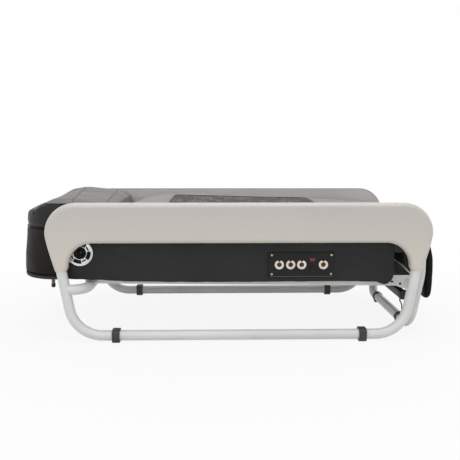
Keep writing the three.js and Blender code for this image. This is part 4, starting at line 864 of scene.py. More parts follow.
def softCopy(nodeNames, soft):
    boxes = [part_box(nodeName) for nodeName in nodeNames]
    low = Vector([min(box[0][axis] for box in boxes) for axis in range(3)])
    high = Vector([max(box[1][axis] for box in boxes) for axis in range(3)])
    mesh = tidied(joined(*[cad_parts[nodeName].data for nodeName in nodeNames]))
    centre, size = (low + high) / 2, high - low
    drawIn = Vector(soft["drawIn"]) * mm
    for vertex in mesh.vertices:
        away = vertex.co - centre
        for axis in range(3):
            away[axis] *= 1 - 2 * drawIn[axis] / size[axis]
        vertex.co = centre + away
        vertex.co.z -= drawIn.z * soft.get("seated", 1)
    remesh = {"mode": "VOXEL", "voxel_size": soft["voxel"] * mm, "adaptivity": 0}
    settle = {"factor": 0.5, "iterations": 4}
    mesh = evaluatedMesh(held(mesh, ("REMESH", remesh), ("SMOOTH", settle)))
    start = [vertex.co.copy() for vertex in mesh.vertices]
    mesh = blownUp(mesh, low, soft)
    grow = Vector(soft["grow"]) * mm
    for vertex, before in zip(mesh.vertices, start):
        move = vertex.co - before
        if move.length > soft["cap"] * mm:
            vertex.co = before + move * (soft["cap"] * mm / move.length)
    mesh = evaluatedMesh(held(mesh, ("SMOOTH", settle), ("SUBSURF", {"levels": 1, "render_levels": 1})))
    for vertex in mesh.vertices:
        ripple = noise.noise(vertex.co * soft["rippleScale"]) * soft["ripple"] * mm
        vertex.co.z += ripple * min(1, max(0, (vertex.co.z - low.z) / (0.4 * size.z)))
        for axis in range(3):
            vertex.co[axis] = min(max(vertex.co[axis], low[axis] - grow[axis]), high[axis] + grow[axis])
        vertex.co.z = max(vertex.co.z, low.z)
    return mesh


blowing = {"pressure": 4, "quality": 4, "tension": 20, "bending": 1.5, "frames": 20}


def blownUp(mesh, low, soft):
    carrier = held(mesh)
    rest = carrier.vertex_groups.new(name="rest")
    rest.add([v.index for v in mesh.vertices if v.co.z < low.z + soft["hold"] * mm], 1.0, "REPLACE")
    cloth = carrier.modifiers.new("cloth", "CLOTH")
    cloth.settings.use_pressure = True
    cloth.settings.uniform_pressure_force = blowing["pressure"]
    cloth.settings.effector_weights.gravity = 0
    cloth.settings.quality = blowing["quality"]
    cloth.settings.tension_stiffness = blowing["tension"]
    cloth.settings.bending_stiffness = blowing["bending"]
    cloth.settings.vertex_group_mass = "rest"
    cloth.collision_settings.use_collision = False
    cloth.point_cache.frame_start, cloth.point_cache.frame_end = 1, blowing["frames"]
    for number in range(1, blowing["frames"] + 1):
        scene.frame_set(number)
    result = evaluatedMesh(carrier)
    scene.frame_set(1)
    return result


# A sewn line pulls the surface in along it
def sewnIn(mesh, distanceTo, depth, width):
    normals = [vertex.normal.copy() for vertex in mesh.vertices]
    for vertex, normal in zip(mesh.vertices, normals):
        away = distanceTo(vertex.co / mm)
        if away < 4 * width:
            vertex.co -= normal * depth * mm * math.exp(-((away / width) ** 2))


# Cords of piping and welts lie on a soft piece, found by looking at it from outside
def lookedAt(mesh):
    return BVHTree.FromPolygons([v.co for v in mesh.vertices], [p.vertices for p in mesh.polygons])


def surfaceLine(tree, starts, sink=0.0):
    line = []
    for place, direction in starts:
        direction = Vector(direction).normalized()
        hit, normal, _, _ = tree.ray_cast(Vector(place) * mm, direction)
        if hit is not None:
            line.append(tuple((hit - normal * sink * mm) / mm))
    return line


pillow = {
    "soft": {
        "voxel": 5, "drawIn": (4, 3, 2), "cap": 3, "grow": (0, 2, 3), "hold": 3, "ripple": 1.2,
        "rippleScale": 7.0,
    },
    "floor": 378, "headIn": 7.0, "footOut": 8.0, "stepTo": 400, "stepGap": 2, "stepSpare": 4,
    "tops": [
        (-719, 416), (-706, 431), (-692, 442), (-676, 446.5), (-660, 449.5), (-648, 454), (-636, 460.5),
        (-620, 468), (-605, 476), (-592, 482), (-575, 484.5), (-555, 484), (-528, 481.5), (-480, 477),
        (-442, 470), (-420, 463), (-404, 452), (-388, 434),
    ],
    "rim": [
        (-706, 0), (-685, 10), (-666, 19), (-648, 23), (-629, 20), (-608, 12), (-585, 6), (-540, 4),
        (-400, 2),
    ],
    "seams": [(-522, -585), (-416, -456)], "seamDepth": 1.6, "seamWidth": 3.0, "welt": 1.2,
    "panelX": -664, "panelHalf": 250, "panelCorner": 34, "panelSewn": (1.2, 3.0), "bead": 1.9,
    "sideSeam": 464, "headDrop": (26, -668, -630), "footDrop": (90, -446, -408),
    "baseSeam": 391, "baseSewn": (2.2, 5.0), "lookFrom": 540,
}


def topsOf(mesh, first, last, step, y=0):
    tree, table = lookedAt(mesh), []
    for k in range(int((last - first) / step) + 1):
        found = surfaceLine(tree, [((first + step * k, y, 600), (0, 0, -1))])
        if found:
            table.append((first + step * k, found[0][2]))
    return table


def fitPillow(mesh):
    for vertex in mesh.vertices:
        x, y, z = vertex.co / mm
        x += pillow["headIn"] * (1 - softStep(x, -705, -640))
        raised = softStep(z, pillow["floor"], pillow["floor"] + 40)
        x += pillow["footOut"] * softStep(x, -480, -400) * raised
        vertex.co.x = x * mm
    floor = pillow["floor"]
    before = topsOf(mesh, -700, -398, 6)
    for vertex in mesh.vertices:
        x, y, z = vertex.co / mm
        if z > floor:
            at = min(max(x, -697), -402)
            wanted, found = easedTable(pillow["tops"], at), easedTable(before, at)
            z = floor + (z - floor) * (wanted - floor) / (found - floor)
            raised = easedTable(pillow["rim"], x) * (softStep(y, 100, 262) + 0.3 * softStep(-y, 200, 268))
            vertex.co.z = (z + raised * softStep(z, 410, 445)) * mm


def sideSeam(x):
    (headDrop, *headSpan), (footDrop, *footSpan) = pillow["headDrop"], pillow["footDrop"]
    return pillow["sideSeam"] - headDrop * (1 - softStep(x, *headSpan)) - footDrop * softStep(x, *footSpan)


# How far a point is inside the grey top panel: its sides, rounded corners and the seam below it
def insidePanel(x, y, z):
    dx = pillow["panelX"] + pillow["panelCorner"] - x
    dy = abs(y) - pillow["panelHalf"]
    if dx > 0 and dy > 0:
        across = pillow["panelCorner"] - math.hypot(dx, dy)
    else:
        across = x - pillow["panelX"]
    return min(across, z - sideSeam(x))


def seamX(nearX, farX, y):
    return nearX + (farX - nearX) * (y + body["half"]) / (2 * body["half"])


# The pillow's lower edge steps up over the head box's rim
def stepOver(mesh):
    centre, half = body["headX"] + body["headRadius"], body["half"] - body["headRadius"]
    floor, high, low = pillow["floor"], pillow["stepTo"], headBox["high"] + pillow["stepGap"]
    lastX = body["headJoint"] + pillow["stepSpare"]
    leastReach = body["headRadius"] - body["wall"] - pillow["stepSpare"]
    for vertex in mesh.vertices:
        x, y, z = vertex.co / mm
        reach = math.hypot(min(x - centre, 0), max(abs(y) - half, 0))
        if x <= lastX and reach >= leastReach and z < high:
            vertex.co.z = (low + (z - floor) * (high - low) / (high - floor)) * mm


mesh = softCopy(["pillow_base", "pillow_panel"], pillow["soft"])
fitPillow(mesh)
stepOver(mesh)
for nearX, farX in pillow["seams"]:
    def seamAway(point):
        return abs(point.x - seamX(nearX, farX, point.y)) if point.z > pillow["sideSeam"] else math.inf
    sewnIn(mesh, seamAway, pillow["seamDepth"], pillow["seamWidth"])
sewnIn(mesh, lambda point: abs(insidePanel(*point)), *pillow["panelSewn"])
sewnIn(mesh, lambda point: abs(point.z - pillow["baseSeam"]), *pillow["baseSewn"])
cushion("pillow", mesh, "pillowShadedVinyl", "bed", ["pillow_base", "pillow_panel"])
mesh.materials.append(finish["blackVinyl"])
for polygon in mesh.polygons:
    if insidePanel(*(polygon.center / mm)) < 0:
        polygon.material_index = 1

# Piping round the panel: along the near side, over the rim, across the head end and back
pillowTree = lookedAt(mesh)
starts = [((x, -360, sideSeam(x)), (0, 1, 0)) for x in range(-424, -638, -8)]
bend = pillow["panelCorner"]
corner = arc((pillow["panelX"] + bend, -pillow["panelHalf"]), bend, 246, 180, 8)
across = corner + [(pillow["panelX"], -pillow["panelHalf"] + 12 * k) for k in range(1, 22)]
starts += [((x, y, pillow["lookFrom"]), (0, 0, -1)) for x, y in across]
nearHalf = surfaceLine(pillowTree, starts, 0.2)
nearHalf = [point for point in nearHalf if point[1] < 0 and point[2] > 425]
farHalf = [(x, -y, z) for x, y, z in reversed(nearHalf)]
mesh = tubeMesh(nearHalf + farHalf, pillow["bead"], 10)
piece("pillowPiping", mesh, "blackVinyl", "bed")
welts = []
for nearX, farX in pillow["seams"]:
    places = [(seamX(nearX, farX, y), y, pillow["lookFrom"]) for y in range(-288, 289, 6)]
    line = surfaceLine(pillowTree, [(place, (0, 0, -1)) for place in places], 0.1)
    welts.append(tubeMesh(line, pillow["welt"], 8))
piece("pillowWelts", joined(*welts), "weltVinyl", "bed")
print("pillow made")

mat = {
    "soft": {
        "voxel": 7.5, "drawIn": (3, 2, 2), "cap": 3, "grow": (0, 0, 4), "hold": 3, "ripple": 1.4,
        "rippleScale": 5.0,
    },
    "floor": 378, "crown": 5, "tuck": 5.0, "tuckRise": 7.5, "tuckReach": 16,
    "ticks": (-207, -107, 7, 115, 322, 465), "welt": 1.3, "weltY": 289, "lookFrom": 520,
    "middle": [
        (-394, 402), (-370, 424), (-340, 440), (-317, 447.5), (-256, 453.5), (-203, 453.5), (-107, 451),
        (5, 447.8), (101, 445), (200, 443), (310, 441.5), (352, 438.5), (420, 435), (517, 430.5),
        (590, 426), (620, 416), (634, 403), (640, 391),
    ],
    "edge": [
        (-394, 404), (-380, 417), (-352, 436), (-326, 447.5), (-295, 455), (-263, 459.5), (-195, 460.7),
        (-118, 460), (-62, 458.5), (-25, 456), (7, 452.5), (50, 448), (95, 444.5), (235, 440),
        (365, 437.3), (517, 430.5), (590, 426), (620, 416), (634, 403), (640, 391),
    ],
}
strip = {
    "headX": -210, "footX": 335, "half": 205, "corner": 22, "thickness": 3, "lift": 1.2, "crown": 1.5,
    "binding": 2.4, "bindingDrop": 0.6, "stitchIn": 9, "stitchRise": 0.35, "columns": 110, "rows": 82,
}
matLine = {
    "start": -394, "length": 1034, "low": 375, "high": 453, "half": 298,
    "shares": [
        (0, 0.33), (0.02, 0.57), (0.055, 0.83), (0.106, 0.97), (0.176, 1), (0.277, 1), (0.384, 0.9),
        (0.44, 0.87), (0.688, 0.79), (0.825, 0.69), (0.933, 0.645), (0.972, 0.53), (0.992, 0.36),
        (1, 0.2),
    ],
}


# The mat's height anywhere: flat across its middle, with a fuller roll along each side
def matTop(x, y):
    middle = easedTable(mat["middle"], x)
    return middle + (easedTable(mat["edge"], x) - middle) * softStep(abs(y), 212, 280)


def packedTop(x, y):
    up = easedTable(matLine["shares"], (x - matLine["start"]) / matLine["length"])
    crown = mat["crown"] / 2 * (1 + (y / matLine["half"]) ** 2)
    return matLine["low"] + (matLine["high"] - matLine["low"]) * up - crown


def stripTop(x, y):
    return matTop(x, 0) + strip["crown"] * (1 - (y / strip["half"]) ** 2) + strip["lift"]


def outsideStrip(x, y):
    dx = max(strip["headX"] - x, x - strip["footX"], 0)
    dy = max(abs(y) - strip["half"], 0)
    return math.hypot(dx, dy)


matMesh = softCopy(["main_mat"], mat["soft"])
before = topsOf(matMesh, -386, 632, 6, 250)
for vertex in matMesh.vertices:
    x, y, z = vertex.co / mm
    if z > mat["floor"]:
        at = min(max(x, -384), 628)
        packed = easedTable(before, at) + packedTop(at, y) - packedTop(at, 250)
        z = mat["floor"] + (z - mat["floor"]) * (matTop(at, y) - mat["floor"]) / (packed - mat["floor"])
        vertex.co.z = z * mm
    away = outsideStrip(x, y)
    if away < mat["tuckReach"] and z > 400:
        under = stripTop(x, y) - mat["tuck"] + mat["tuckRise"] * (away / mat["tuckReach"]) ** 1.5
        vertex.co.z = min(z, under) * mm
cushion("mainMat", matMesh, "greyVinyl", "bed", ["main_mat"])
matTree = lookedAt(matMesh)
welts = []
for side in (-1, 1):
    lines = [([(x, mat["weltY"]) for x in (-388, -384, -379, -373, *range(-366, 630, 9))], 0.1)]
    lines += [([(x, y) for y in (279, 282, 285, 288, 291, 294, 296)], -0.4) for x in mat["ticks"]]
    for places, sink in lines:
        starts = [((x, side * y, mat["lookFrom"]), (0, 0, -1)) for x, y in places]
        welts.append(tubeMesh(surfaceLine(matTree, starts, sink), mat["welt"], 8))
piece("matWelts", joined(*welts), "weltVinyl", "bed")
print("mat made")


def stripPoint(x, y):
    cornerX = min(max(x, strip["headX"] + strip["corner"]), strip["footX"] - strip["corner"])
    cornerY = min(max(y, strip["corner"] - strip["half"]), strip["half"] - strip["corner"])
    away = Vector((x - cornerX, y - cornerY))
    if away.length > strip["corner"]:
        away *= strip["corner"] / away.length
        x, y = cornerX + away.x, cornerY + away.y
    return Vector((x, y, stripTop(x, y))) * mm


def stripMesh():
    columns, rows, long = strip["columns"], strip["rows"], strip["footX"] - strip["headX"]
    grid = []
    for i in range(columns + 1):
        x = strip["headX"] + long * i / columns
        grid.append([stripPoint(x, strip["half"] * (2 * j / rows - 1)) for j in range(rows + 1)])
    thick = {"thickness": strip["thickness"] * mm, "offset": -1, "use_even_offset": True}
    return tidied(evaluatedMesh(held(gridMesh(grid), ("SOLIDIFY", thick))))


def stripEdge(inset):
    x0, x1 = strip["headX"] + inset, strip["footX"] - inset
    half = strip["half"] - inset
    plan = roundedBox(x0, x1, -half, half, max(strip["corner"] - inset, 4), 6)
    line = []
    for (ax, ay), (bx, by) in zip(plan, plan[1:] + plan[:1]):
        steps = max(1, int(math.dist((ax, ay), (bx, by)) / 12))
        line += [(ax + (bx - ax) * k / steps, ay + (by - ay) * k / steps) for k in range(steps)]
    return [(x, y, stripTop(x, y)) for x, y in line]


piece("meshStrip", stripMesh(), "stripMesh", "bed", ["mesh_strip"])
edge = [(x, y, z - strip["bindingDrop"]) for x, y, z in stripEdge(1)]
piece("stripBinding", tubeMesh(edge, strip["binding"], 10, True), "blackVinyl", "bed")


# A tree with named inputs: what the given steps place is made real and takes its finish
def placingTree(name, inputs, steps):
    tree = bpy.data.node_groups.new(name, "GeometryNodeTree")
    face, sockets = tree.interface, {}
    for label, kind in {"Mesh": "Geometry", **inputs, "Finish": "Material"}.items():
        socket = face.new_socket(label, in_out="INPUT", socket_type="NodeSocket" + kind)
        sockets[label] = socket.identifier
    face.new_socket("Made", in_out="OUTPUT", socket_type="NodeSocketGeometry")
    given = nodeOf(tree, "NodeGroupInput")
    real = nodeOf(tree, "GeometryNodeRealizeInstances", {"Geometry": steps(tree, given)})["Geometry"]
    inputs = {"Geometry": real, "Material": given["Finish"]}
    dyed = nodeOf(tree, "GeometryNodeSetMaterial", inputs)["Geometry"]
    nodeOf(tree, "NodeGroupOutput", {"Made": dyed})
    return tree, sockets


def withTree(mesh, group, values, material):
    tree, sockets = group
    carrier = held(mesh)
    modifier = carrier.modifiers.new(tree.name, "NODES")
    modifier.node_group = tree
    for label, value in values.items():
        modifier[sockets[label]] = value
    modifier[sockets["Finish"]] = finish[material]
    return evaluatedMesh(carrier)


# Stitches: short threads set along a line at an even pitch, each laid along it
def stitchSteps(tree, given):
    curve = nodeOf(tree, "GeometryNodeMeshToCurve", {"Mesh": given["Mesh"]})["Curve"]
    inputs = {"Curve": curve, "Length": given["Pitch"]}
    even = nodeOf(tree, "GeometryNodeResampleCurve", inputs, mode="LENGTH")["Curve"]
    inputs = {"Vertices": 6, "Radius": given["Thread radius"], "Depth": given["Stitch length"]}
    thread = nodeOf(tree, "GeometryNodeMeshCylinder", inputs)["Mesh"]
    along = nodeOf(tree, "GeometryNodeInputTangent")["Tangent"]
    turn = nodeOf(tree, "FunctionNodeAlignRotationToVector", {"Vector": along}, axis="Z")["Rotation"]
    inputs = {2: mathOf(tree, "SUBTRACT", 1.0, given["Slack"]), 3: 1.0, "Seed": 7}
    uneven = nodeOf(tree, "FunctionNodeRandomValue", inputs, data_type="FLOAT")[1]
    inputs = {"Points": even, "Instance": thread, "Rotation": turn, "Scale": uneven}
    return nodeOf(tree, "GeometryNodeInstanceOnPoints", inputs)["Instances"]


inputs = {label: "Float" for label in ("Pitch", "Stitch length", "Thread radius", "Slack")}
stitchesAlong = placingTree("stitchesAlong", inputs, stitchSteps)


def stitched(name, line, thread, body, values):
    mesh = bpy.data.meshes.new("work")
    points = [tuple(Vector(point) * mm) for point in line]
    mesh.from_pydata(points, [(k, k + 1) for k in range(len(line) - 1)], [])
    scaled = {label: value * mm if label != "Slack" else value for label, value in values.items()}
    return piece(name, withTree(mesh, stitchesAlong, scaled, thread), thread, body, (), 30)


stripThread = {"Pitch": 7.0, "Stitch length": 5.0, "Thread radius": 0.55, "Slack": 0.15}
edge = [(x, y, z + strip["stitchRise"]) for x, y, z in stripEdge(strip["stitchIn"])]
stitched("stripStitches", edge + edge[:1], "clipRubber", "bed", stripThread)
print("strip made")

# The foot section's pads and stand

footPad = {
    "voxel": 5, "drawIn": (2, 2, 1.5), "cap": 2, "grow": (0, 2, 1), "hold": 3, "ripple": 0.8,
    "rippleScale": 9.0,
}
mesh = softCopy(["foot_mat"], footPad)
cushion("footMat", mesh, "greyVinyl", "foot_section", ["foot_mat"])
# The end pad is fullest at its middle and thin towards its top
endPad = {
    "soft": {
        "voxel": 5, "drawIn": (2, 3, 3), "cap": 2, "grow": (2, 2, 2), "hold": 0, "ripple": 0.0,
        "rippleScale": 9.0, "seated": 0,
    },
    "back": 691, "drop": 12, "dropOver": (124, 190), "lookFrom": 760,
    "faces": [
        (122, 700), (134, 710), (150, 718), (200, 721), (262, 720.5), (300, 712), (318, 706),
        (345, 701), (374, 698),
    ],
}
mesh = softCopy(["foot_end_pad"], endPad["soft"])
tree = lookedAt(mesh)
found = [surfaceLine(tree, [((endPad["lookFrom"], 0, z), (-1, 0, 0))]) for z in range(132, 369, 6)]
before = [(point[0][2], point[0][0]) for point in found if point]
for vertex in mesh.vertices:
    x, y, z = vertex.co / mm
    at = min(max(z, 136), 364)
    full = (easedTable(endPad["faces"], at) - endPad["back"]) / (easedTable(before, at) - endPad["back"])
    vertex.co.x = (endPad["back"] + (x - endPad["back"]) * full) * mm
    vertex.co.z = (z - endPad["drop"] * (1 - softStep(z, *endPad["dropOver"]))) * mm
cushion("footEndPad", mesh, "endVinyl", "foot_section", ["foot_end_pad"])

stand = {
    "x": 638, "y": 262, "low": 30.5, "knee": 215, "kneeX": 670.5, "top": 293, "bottomBend": 60,
    "kneeBend": 200,
}
corners = []
for side, levels in ((-1, ("top", "knee", "low")), (1, ("low", "knee", "top"))):
    for level in levels:
        x = stand["x"] if level == "low" else stand["kneeX"]
        corners.append((x, side * stand["y"], stand[level]))
bends = [stand["kneeBend"], stand["bottomBend"], stand["bottomBend"], stand["kneeBend"]]
mesh = tubeMesh(bentLine(corners, bends, 14), sled["radius"])
piece("footStand", mesh, "tubePaint", "foot_section", ["foot_stand"])

# A gathered cloth hung under the deck's foot end, with a bent silver rod in its hem
curtain = {
    "x": 617, "half": 226, "top": 288.5, "low": 246, "lean": 4, "folds": 17, "deep": 5.5, "second": 0.35,
    "sway": 1.6, "swayScale": 0.02, "columns": 240, "rows": 12, "thickness": 0.8, "rod": 3.2,
    "route": [
        (655, -262, 212), (648, -262, 214), (637, -261, 218), (629, -250, 225), (624, -232, 233),
        (621, -205, 239), (618, -165, 243),
    ],
}


def curtainPoint(across, down):
    y = -curtain["half"] + 2 * curtain["half"] * across
    z = curtain["top"] + (curtain["low"] - curtain["top"]) * down
    sway = noise.noise(Vector((y * curtain["swayScale"], down * 1.6, 4))) * curtain["sway"]
    turn = across * curtain["folds"] * math.pi
    fold = math.sin(2 * turn + sway) + curtain["second"] * math.sin(5 * turn)
    deep = curtain["deep"] * (0.45 + 0.55 * math.sin(math.pi * min(down, 1 - down * 0.35)))
    return Vector((curtain["x"] + curtain["lean"] * down + fold * deep, y, z)) * mm


grid = [
    [curtainPoint(i / curtain["columns"], j / curtain["rows"]) for j in range(curtain["rows"] + 1)]
    for i in range(curtain["columns"] + 1)
]
hung = gridMesh(grid)
thick = {"thickness": curtain["thickness"] * mm, "offset": 0}
cloth = tidied(evaluatedMesh(held(hung, ("SOLIDIFY", thick))))
rodLine = curtain["route"] + [(x, -y, z) for x, y, z in reversed(curtain["route"])]
mesh = tubeMesh(bentLine(rodLine, 6, 3), curtain["rod"], 14)
rod = piece("curtainRod", mesh, "silverPaint", "bed")
made = piece("footCurtain", cloth, "padCloth", "bed", (), 60)
print("foot section made")

# Speaker: a chromed ring with four windows and four slotted bridges, and a ribbed cone behind it

ring = {
    "front": -300.3, "back": -296.3, "edge": 0.8, "hole": 21.5, "windowIn": 24.3, "windowOut": 37,
    "window": 50, "firstBridge": 28, "slotAt": 29.6, "slotLong": 16, "slotHigh": 4.6, "slotCorner": 1.2,
    "roll": 2.4, "lip": 1.0, "lipOut": 0.6, "rollIn": 0.4,
}
centre = (speaker["x"], speaker["z"])
outline = arc(centre, speaker["radius"], 0, 354, 59)
holes = [arc(centre, ring["hole"], 0, 354, 59)]
for k in range(4):
    middle = ring["firstBridge"] + 45 + 90 * k
    first, last = middle - ring["window"] / 2, middle + ring["window"] / 2
    outer = arc(centre, ring["windowOut"], first, last, 10)
    holes.append(outer + arc(centre, ring["windowIn"], last, first, 8))
    turn = math.radians(ring["firstBridge"] + 90 * k)
    c, s = math.cos(turn), math.sin(turn)
    slot = boxAbout(0, ring["slotAt"], ring["slotLong"], ring["slotHigh"], ring["slotCorner"], 4)
    holes.append([(centre[0] + out * c - x * s, centre[1] + out * s + x * c) for x, out in slot])
mesh = plateMesh(outline, ring["front"], ring["back"], ring["edge"], holes)
rolls = []
innerRoll = ring["hole"] + ring["lip"] + ring["lipOut"]
for radius, size in ((speaker["radius"] - ring["roll"], ring["roll"]), (innerRoll, ring["lip"])):
    circle = [(x, ring["front"] + ring["rollIn"], z) for x, z in arc(centre, radius, 0, 355, 71)]
    rolls.append(tubeMesh(circle, size, 14, True))
piece("speakerRing", joined(mesh, *rolls), "chrome", "bed", ["speaker_ring"], 35)

cone = {
    "front": -296, "rim": 37.4, "dome": ((0, 6.5), (4, 6.8), (8, 8.6)), "cap": 10, "deep": 11,
    "back": -276.3, "ribs": 5, "ribHigh": 0.5, "ribsTo": 27, "rise": 6, "rollWide": 6, "rollAt": 5,
    "rollHigh": 3.2,
}
front = cone["front"]
profile = [(radius, front + deep) for radius, deep in (*cone["dome"], (cone["cap"], cone["deep"]))]
steps = cone["ribs"] * 6
for k in range(1, steps + 1):
    share = k / steps
    radius = cone["cap"] + (cone["ribsTo"] - cone["cap"]) * share
    rib = cone["ribHigh"] * math.sin(share * cone["ribs"] * 2 * math.pi)
    profile.append((radius, front + cone["deep"] - cone["rise"] * share + rib))
for degrees in range(10, 91, 10):
    turn = math.radians(degrees)
    y = front + cone["rollAt"] - cone["rollHigh"] * math.sin(2 * turn)
    profile.append((cone["ribsTo"] + cone["rollWide"] * math.sin(turn), y))
profile += [(35, front + 2), (cone["rim"], front + 1), (cone["rim"], cone["back"]), (0, cone["back"])]
mesh = turnedMesh(profile, *centre, 64)
piece("speakerCone", mesh, "blackPlastic", "bed", ["speaker_cone"])

# Connector panel

panel = {
    "x": 249, "z": 255.5, "width": 226, "height": 87, "corner": 4, "face": -301.3, "thickness": 3,
    "fuse": (36.5, -10.5), "fuseRadius": 8.6, "switch": (37, 19), "switchHalf": (10.4, 7.3),
    "lineRise": 4.6, "lineIn": 6, "lineWide": 0.8, "lineOut": 0.15, "lineSunk": 0.3,
    "screwX": 101.5, "screwUp": 35, "screwDown": -30.5, "screw": 4, "screwHigh": 1.9,
}
sockets = {"offsets": (-76.5, -38, -0.5, 73.5), "rise": 3, "tail": 9.3}
px, pz = panel["x"], panel["z"]
outline = boxAbout(px, pz, panel["width"], panel["height"], panel["corner"])
middles = [(px + offset, pz + sockets["rise"]) for offset in sockets["offsets"]]
holes = [arc(middle, sockets["tail"], 360, 12, 30) for middle in middles]
holes.append(arc((px + panel["fuse"][0], pz + panel["fuse"][1]), panel["fuseRadius"], 360, 12, 30))
(sx, sz), (wide, high) = panel["switch"], panel["switchHalf"]
corners = ((-1, -1), (-1, 1), (1, 1), (1, -1))
holes.append([(px + sx + wide * a, pz + sz + high * b) for a, b in corners])
mesh = plateMesh(outline, panel["face"], panel["face"] + panel["thickness"], 0, holes)
piece("panelPlate", mesh, "panelBlack", "bed", ["panel_plate"], 30)
# Painted highlight: a thin pale strip near the plate's lower edge stands in for the light that edge
# catches
lineZ = pz - panel["height"] / 2 + panel["lineRise"]
half = panel["width"] / 2 - panel["lineIn"]
outline = roundedBox(px - half, px + half, lineZ, lineZ + panel["lineWide"], 0.4, 3)
mesh = plateMesh(outline, panel["face"] - panel["lineOut"], panel["face"] + panel["lineSunk"])
piece("panelHighlightLine", mesh, "linerPiping", "bed", (), 30)


# Screws, pins and other small turned parts: one shape set on given points
def headSteps(tree, given):
    points = nodeOf(tree, "GeometryNodeMeshToPoints", {"Mesh": given["Mesh"]})["Points"]
    inputs = {"Rings": 10, "Segments": given["Sides"], "Radius": given["Radius"]}
    dome = nodeOf(tree, "GeometryNodeMeshUVSphere", inputs)["Mesh"]
    share = mathOf(tree, "DIVIDE", given["Height"], given["Radius"])
    squeeze = nodeOf(tree, "ShaderNodeCombineXYZ", {0: 1.0, 1: 1.0, 2: share})[0]
    flat = nodeOf(tree, "GeometryNodeTransform", {"Geometry": dome, "Scale": squeeze})["Geometry"]
    inputs = {"Points": points, "Instance": flat, "Rotation": (math.pi / 2, 0, 0)}
    return nodeOf(tree, "GeometryNodeInstanceOnPoints", inputs)["Instances"]


inputs = {"Radius": "Float", "Height": "Float", "Sides": "Int"}
setOnPoints = placingTree("setOnPoints", inputs, headSteps)


def headsOn(name, places, radius, height, metal, sides=24):
    mesh = bpy.data.meshes.new("work")
    mesh.from_pydata([tuple(Vector(place) * mm) for place in places], [], [])
    values = {"Radius": radius * mm, "Height": height * mm, "Sides": sides}
    return piece(name, withTree(mesh, setOnPoints, values, metal), metal, "bed", (), 50)


recess = {"long": 4.8, "wide": 0.8, "corner": 0.3, "fronts": (-303.35, -303.36), "back": -302.6}
heights = (panel["screwUp"], panel["screwDown"])
places = [(px + end * panel["screwX"], panel["face"], pz + z) for end in (-1, 1) for z in heights]
headsOn("panelScrews", places, panel["screw"], panel["screwHigh"], "brassPale")
spans = ((recess["long"], recess["wide"]), (recess["wide"], recess["long"]))
crosses = []
for x, _, z in places:
    for (wide, high), front in zip(spans, recess["fronts"]):
        crosses.append(plateMesh(boxAbout(x, z, wide, high, recess["corner"], 2), front, recess["back"]))
piece("screwRecesses", joined(*crosses), "blackPlastic", "bed", (), 30)

# Four round multi-pin sockets: a broad ring with a notch at its top, a dark insert and its pins
plug = {
    "front": -307.4, "back": -301.35, "outer": 16, "bore": 7.8, "edge": 1.3, "notch": 5.4,
    "notchDeep": 9.4, "insert": -303.2, "tail": 9, "tailEnd": -266.7, "pin": 1.0, "pinReach": 4.6,
    "pinOut": 0.3, "pinHigh": 2.4,
}
pins = []
for number, (x, z) in enumerate(middles, 1):
    lean = math.degrees(math.asin(plug["notch"] / plug["outer"]))
    outline = arc((x, z), plug["outer"], 90 + lean, 450 - lean, 44) + [(x, z + plug["notchDeep"])]
    hole = arc((x, z), plug["bore"], 360, 8, 44)
    flange = plateMesh(outline, plug["front"], plug["back"], plug["edge"], [hole])
    start, end, face = plug["back"] + 0.1, plug["tailEnd"], plug["insert"]
    tail = turnedMesh([(0, start), (plug["tail"], start), (plug["tail"], end), (0, end)], x, z, 32)
    mesh, nodes = joined(flange, tail), ["socket_%d" % number]
    piece("socket%d" % number, mesh, "roseSilver", "bed", nodes, 35)
    seat = plug["back"] + 0.05
    insert = [(0, face), (7.2, face), (7.8, face + 0.6), (8.0, seat), (0, seat)]
    mesh = turnedMesh(insert, x, z, 32)
    piece("socketInsert%d" % number, mesh, "blackPlastic", "bed", (), 35)
    around = arc((x, z), plug["pinReach"], 18, 18 + 72 * 4, 4)
    pins += [(pinX, face - plug["pinOut"], pinZ) for pinX, pinZ in (*around, (x, z))]
headsOn("socketPins", pins, plug["pin"], plug["pinHigh"], "brassPale", 10)
print("panel made")

# Stop bolts: plated bolts with rubber tips
stop = {
    "x": -612, "y": 225, "top": 205.6, "flange": 11, "bevel": 0.6, "neck": 201.6, "stem": 6.5,
    "turns": 11, "threads": (0.0, 0.45, 0.9, 0.45), "tipTop": 179.7, "tip": 7, "tipBevel": 0.8,
    "tipRound": 2, "low": 165.8,
}


def upright(profile, x, y):
    mesh = turnedMesh(profile, 0, 0, 28)
    mesh.transform(Matrix.Translation((x * mm, y * mm, 0)) @ Matrix.Rotation(math.pi / 2, 4, "X"))
    return tidied(mesh)


top, neck, tipTop, low, steps = stop["top"], stop["neck"], stop["tipTop"], stop["low"], stop["turns"] * 4
flange, bevel, tip, tipBevel = stop["flange"], stop["bevel"], stop["tip"], stop["tipBevel"]
bolt = [(0, top), (flange - bevel, top), (flange, top - bevel)]
bolt += [(flange, neck + bevel), (flange - bevel, neck)]
for k in range(steps + 1):
    bolt.append((stop["stem"] - stop["threads"][k % 4], neck - (neck - tipTop) * k / steps))
bolt.append((0, tipTop))
rubber = [(0, tipTop), (tip - tipBevel, tipTop), (tip, tipTop - tipBevel)]
rubber += [(tip, low + stop["tipRound"]), (tip - stop["tipRound"], low), (0, low)]
for side, label in pair:
    name, y = "stopBolt" + label.capitalize(), side * stop["y"]
    piece(name, upright(bolt, stop["x"], y), "zincYellow", "bed", ["stop_bolt_" + label], 35)
    piece(name + "Tip", upright(rubber, stop["x"], y), "trimRubber", "bed", (), 35)

